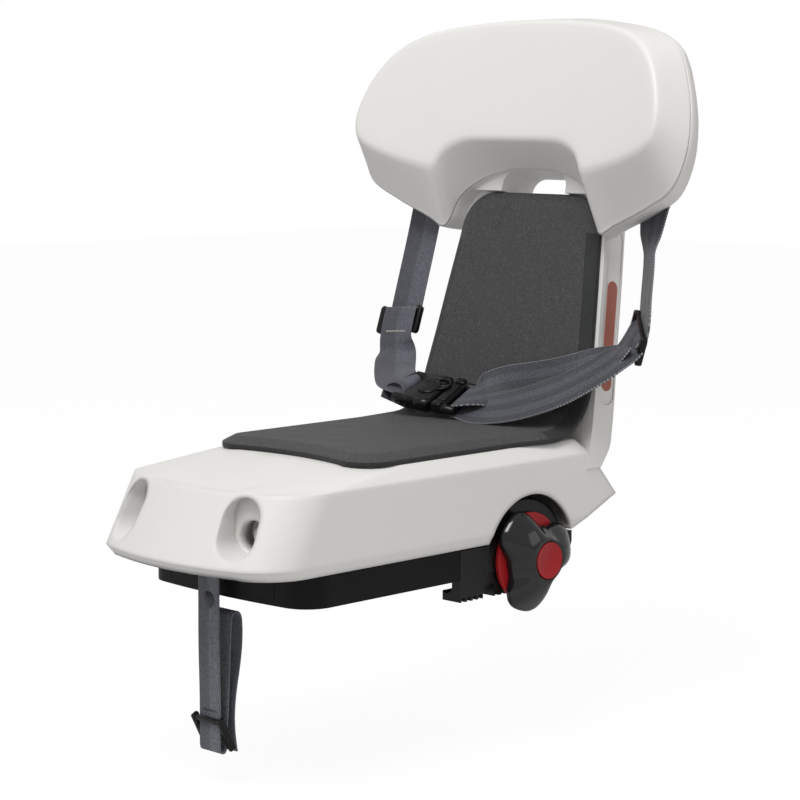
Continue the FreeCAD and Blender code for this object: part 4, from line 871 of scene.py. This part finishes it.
# Rivet: distance from the webbing and radius, from the rim to the top of the dome
RIVET_PROFILE = [(0.0, 0.0), (0.0, 6.6), (0.7, 6.9), (1.0, 6.5), (1.0, 5.6), (1.9, 5.1),
                 (2.6, 3.4), (2.9, 0.0)]
RIVET_Z = -2.0
rivet_at = Vector((0.0, TETHER_Y - WEB_THICK / 2, RIVET_Z))
rivet_parts = [turned(RIVET_PROFILE, rivet_at, -Y_AXIS, X_AXIS, Vector((0, 0, 1)))]
rivet = gathered("tether_rivet", rivet_parts, RIVET, "frame")
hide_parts("tether_snap")


# Knob

# Profiles from the cap to the edge: share of the reach and share of the thickness
KNOB_LOBE = [(0.0, 1.0), (0.12, 0.985), (0.30, 0.92), (0.50, 0.79), (0.70, 0.60), (0.85, 0.42), (0.94, 0.29),
             (1.0, 0.15), (0.995, 0.06), (0.96, 0.0)]
KNOB_HOLLOW = [(0.0, 1.0), (0.12, 0.93), (0.30, 0.78), (0.50, 0.63), (0.70, 0.50), (0.85, 0.39), (0.94, 0.28),
               (1.0, 0.15), (0.995, 0.06), (0.96, 0.0)]
LOBES, LOBE_BREADTH, KNOB_SIDES = 3, 1.35, 120
CAP_GAP, CAP_RIM, CAP_SEAT = 0.3, 1.6, (6.0, 0.9)


def knob_piece():
    """A domed knob of broad lobes with a hollow between each two."""
    count, inner = KNOB_SIDES, CAP_R + CAP_RIM
    points = []
    rows = [[] for _ in KNOB_LOBE]
    for k in range(count):
        turn = math.tau * k / count
        share = 0.5 + 0.5 * math.cos(LOBES * turn)
        share = share * share * (3 - 2 * share)
        reach = KNOB_VALLEY_R + (KNOB_TIP_R - KNOB_VALLEY_R) * (1 - (1 - share) ** LOBE_BREADTH)
        for row, (s0, h0), (s1, h1) in zip(rows, KNOB_HOLLOW, KNOB_LOBE):
            s, h = s0 + (s1 - s0) * share, h0 + (h1 - h0) * share
            r = inner + (reach - inner) * s
            row.append((KNOB_X + KNOB_THICK * h, KNOB_Y + r * math.cos(turn + KNOB_PHASE),
                        KNOB_Z + r * math.sin(turn + KNOB_PHASE)))
    seat = []
    for depth in CAP_SEAT:
        turns = [math.tau * k / count + KNOB_PHASE for k in range(count)]
        seat.append([(KNOB_X + KNOB_THICK - depth, KNOB_Y + (CAP_R + CAP_GAP) * math.cos(turn),
                      KNOB_Z + (CAP_R + CAP_GAP) * math.sin(turn)) for turn in turns])
    rings = seat + rows
    for row in rings:
        points += row
    faces = []
    for k in range(len(rings) - 1):
        for i in range(count):
            j = (i + 1) % count
            faces.append((k * count + i, (k + 1) * count + i, (k + 1) * count + j, k * count + j))
    faces += [tuple(range(count)), tuple(reversed(range((len(rings) - 1) * count, len(rings) * count)))]
    knob = mesh_piece("knob_shell", points, faces, GLOSS, "knob")
    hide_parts("knob_body")


knob_piece()


# Seat pad


def back_half(z):
    """Half the pad's width at a height of the backrest."""
    for (z0, half0), (z1, half1) in zip(COLUMN_SIDE, COLUMN_SIDE[1:]):
        if z <= z1:
            return half0 + (half1 - half0) * (z - z0) / (z1 - z0) - PAD_MARGIN
    return COLUMN_SIDE[-1][1] - PAD_MARGIN


BEND_TURN = math.pi / 2 - LEAN
BEND_REACH = PAD_BEND_R * math.tan(BEND_TURN / 2)
BEND_Y = HINGE_Y - BEND_REACH
BEND_END = BEND_Y + PAD_BEND_R * BEND_TURN
PAD_END = BEND_END + PAD_TOP - BEND_REACH


def on_pad(x, s, h):
    """A point of the pad from its place on the flat cut and its height over the underside."""
    if s <= BEND_Y:
        return Vector((x, s, HINGE_Z - PAD_THICK + h))
    if s >= BEND_END:
        return leaned(x, PAD_THICK - h, s - BEND_END + BEND_REACH)
    turn = (s - BEND_Y) / PAD_BEND_R
    r = PAD_BEND_R + PAD_THICK - h
    return Vector((x, BEND_Y + r * math.sin(turn), HINGE_Z + PAD_BEND_R - r * math.cos(turn)))


def pad_half(s):
    """Half the width of the flat cut."""
    if s <= PAD_FLARE_Y:
        return PAD_HALF
    if s <= BEND_Y:
        return PAD_HALF + PAD_FLARE * (s - PAD_FLARE_Y) / (BEND_Y - PAD_FLARE_Y)
    if s <= BEND_END:
        first = PAD_HALF + PAD_FLARE
        return first + (back_half(BEND_REACH) - first) * (s - BEND_Y) / (BEND_END - BEND_Y)
    return back_half(s - BEND_END + BEND_REACH)


def pad_outline():
    """The flat cut's edge, from the middle of the front round the child's left to the middle of the top."""
    flat = PAD_HALF - PAD_CORNER_R
    hollow_r = (flat ** 2 + PAD_HOLLOW ** 2) / (2 * PAD_HOLLOW)
    rows = []
    for k in range(15):
        x = flat * k / 15
        rows.append((x, PAD_FRONT + PAD_HOLLOW - hollow_r + math.sqrt(hollow_r ** 2 - x ** 2)))
    rows += arc(flat, PAD_FRONT + PAD_CORNER_R, PAD_CORNER_R, -90, 0, 12)
    s = PAD_FRONT + PAD_CORNER_R + PAD_GRID
    while s < PAD_END - PAD_TOP_R - 4:
        rows.append((pad_half(s), s))
        s += PAD_GRID
    edge = pad_half(PAD_END - PAD_TOP_R)
    rows += arc(edge - PAD_TOP_R, PAD_END - PAD_TOP_R, PAD_TOP_R, 4, 90, 14)
    rows += [((edge - PAD_TOP_R) * (1 - k / 8), PAD_END) for k in range(1, 9)]
    return rows


# Edge of the pad: distance in from the outline and height over the underside
PAD_EDGE = [(0.7, 0.0), (0.0, 0.7), (0.0, PAD_RIM - 1.1), (0.25, PAD_RIM - 0.35), (0.9, PAD_RIM + 0.25),
            (PAD_BEVEL * 0.45, 6.9), (PAD_BEVEL * 0.82, 9.0), (PAD_BEVEL * 0.95, 9.65),
            (PAD_BEVEL + 1.2, 9.92), (PAD_BEVEL + 4.0, PAD_THICK)]
# Rows of the edge in the smooth dark skin, whose darkness is partly painted shade: all round, and on the
# sides from just before the bend upwards
RIM_ROWS, SIDE_ROWS, SKIN_AND_SHADE_LEAD = 3, 7, 12.0


def seat_pad():
    """One foam pad over seat and backrest, its rim and the sides of its back in a smooth dark skin whose
    darkness is partly painted shade.
    """
    half = pad_outline()
    loop = half + [(-x, s) for x, s in reversed(half[1:-1])]
    n = len(loop)
    points, faces = [], []
    for distance, h in PAD_EDGE:
        points += [on_pad(x, s, h) for x, s in inset(loop, distance)]
    for k in range(len(PAD_EDGE) - 1):
        for i in range(n):
            j = (i + 1) % n
            faces.append((k * n + i, k * n + j, (k + 1) * n + j, (k + 1) * n + i))
    filled(points, faces, inset(loop, PAD_EDGE[-1][0]), (len(PAD_EDGE) - 1) * n, PAD_GRID, False,
           lambda x, s: on_pad(x, s, PAD_THICK))
    filled(points, faces, inset(loop, PAD_EDGE[0][0]), 0, PAD_GRID, True, lambda x, s: on_pad(x, s, 0.0))
    pad = mesh_piece("foam_pad", points, faces, FOAM, "frame")
    pad.data.materials.append(FOAM_SKIN_AND_SHADE)
    # Faces of the rim and of the back's sides take the dark foam, which is partly painted shade
    for polygon in pad.data.polygons:
        row, i = divmod(min(polygon.vertices), n)
        if row < SIDE_ROWS and max(polygon.vertices) < len(PAD_EDGE) * n:
            x, s = loop[i]
            rear = BEND_Y - SKIN_AND_SHADE_LEAD < s < PAD_END - PAD_TOP_R
            polygon.material_index = 1 if row < RIM_ROWS or rear else 0
    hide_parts("seat_pad")


seat_pad()


# Floor, light and camera

FLOOR_REACH, FLOOR_GREY, FLOOR_GLOW, FLOOR_SHARE = 6.0, 0.62, 1.07, 0.88
WORLD_COLOUR, WORLD_STRENGTH = (1.0, 0.99, 0.975, 1.0), 0.50
MIDDLE = (0.0, 0.05, 0.16)
# Lamps: name, place, size, power and colour
LAMPS = [("key", (0.55, -1.30, 2.65), 1.4, 56.0, (1.0, 1.0, 1.0)),
         ("right_fill", (2.2, 0.9, 0.9), 1.2, 4.0, (1.0, 0.96, 0.92))]

def backdrop_mix(tree, white, surface, share):
    """Shows white to the camera by a share, and the given surface to everything else."""
    path = make(tree, "LightPath")
    seen = path.outputs["Is Camera Ray"]
    mix = make(tree, "MixShader")
    put(tree, mix.inputs[0], maths(tree, "MULTIPLY", seen, share))
    put(tree, mix.inputs[1], surface)
    put(tree, mix.inputs[2], white)
    return mix.outputs[0]


def build_floor():
    mesh = bpy.data.meshes.new("floor")
    corners = [(-1, -1), (1, -1), (1, 1), (-1, 1)]
    points = [(x * FLOOR_REACH, y * FLOOR_REACH, FLOOR_Z * MM) for x, y in corners]
    mesh.from_pydata(points, [], [(0, 1, 2, 3)])
    floor = bpy.data.objects.new("floor", mesh)
    bpy.context.collection.objects.link(floor)
    material = bpy.data.materials.new("floor")
    material.use_nodes = True
    tree = material.node_tree
    tree.nodes.clear()
    out = make(tree, "OutputMaterial")
    diffuse = make(tree, "BsdfDiffuse")
    diffuse.inputs["Color"].default_value = (FLOOR_GREY, FLOOR_GREY, FLOOR_GREY, 1.0)
    white = make(tree, "Emission")
    white.inputs["Strength"].default_value = FLOOR_GLOW
    shown = backdrop_mix(tree, white.outputs[0], diffuse.outputs[0], FLOOR_SHARE)
    put(tree, out.inputs["Surface"], shown)
    mesh.materials.append(material)


def build_world():
    world = bpy.data.worlds.new("studio")
    bpy.context.scene.world = world
    world.use_nodes = True
    tree = world.node_tree
    tree.nodes.clear()
    out = make(tree, "OutputWorld")
    soft = make(tree, "Background")
    soft.inputs["Color"].default_value = WORLD_COLOUR
    soft.inputs["Strength"].default_value = WORLD_STRENGTH
    white = make(tree, "Background")
    white.inputs["Color"].default_value = (1.0, 1.0, 1.0, 1.0)
    put(tree, out.inputs["Surface"], backdrop_mix(tree, white.outputs[0], soft.outputs[0], 1.0))


def lamp(name, at, size, power, color):
    light = bpy.data.lights.new(name, "AREA")
    light.size = size
    light.energy = power
    light.color = color
    holder = bpy.data.objects.new(name, light)
    bpy.context.collection.objects.link(holder)
    holder.location = at
    holder.rotation_euler = (Vector(MIDDLE) - Vector(at)).to_track_quat("-Z", "Y").to_euler()


def build_camera():
    data = bpy.data.cameras.new("camera")
    data.lens = CAMERA_LENS
    data.sensor_width = 36.0
    camera = bpy.data.objects.new("camera", data)
    bpy.context.collection.objects.link(camera)
    camera.location = CAMERA_AT
    camera.rotation_euler = (CAMERA_TARGET - CAMERA_AT).to_track_quat("-Z", "Y").to_euler()
    bpy.context.scene.camera = camera


build_floor()
build_world()
for row in LAMPS:
    lamp(*row)
build_camera()
bpy.context.scene.view_settings.view_transform = "Standard"
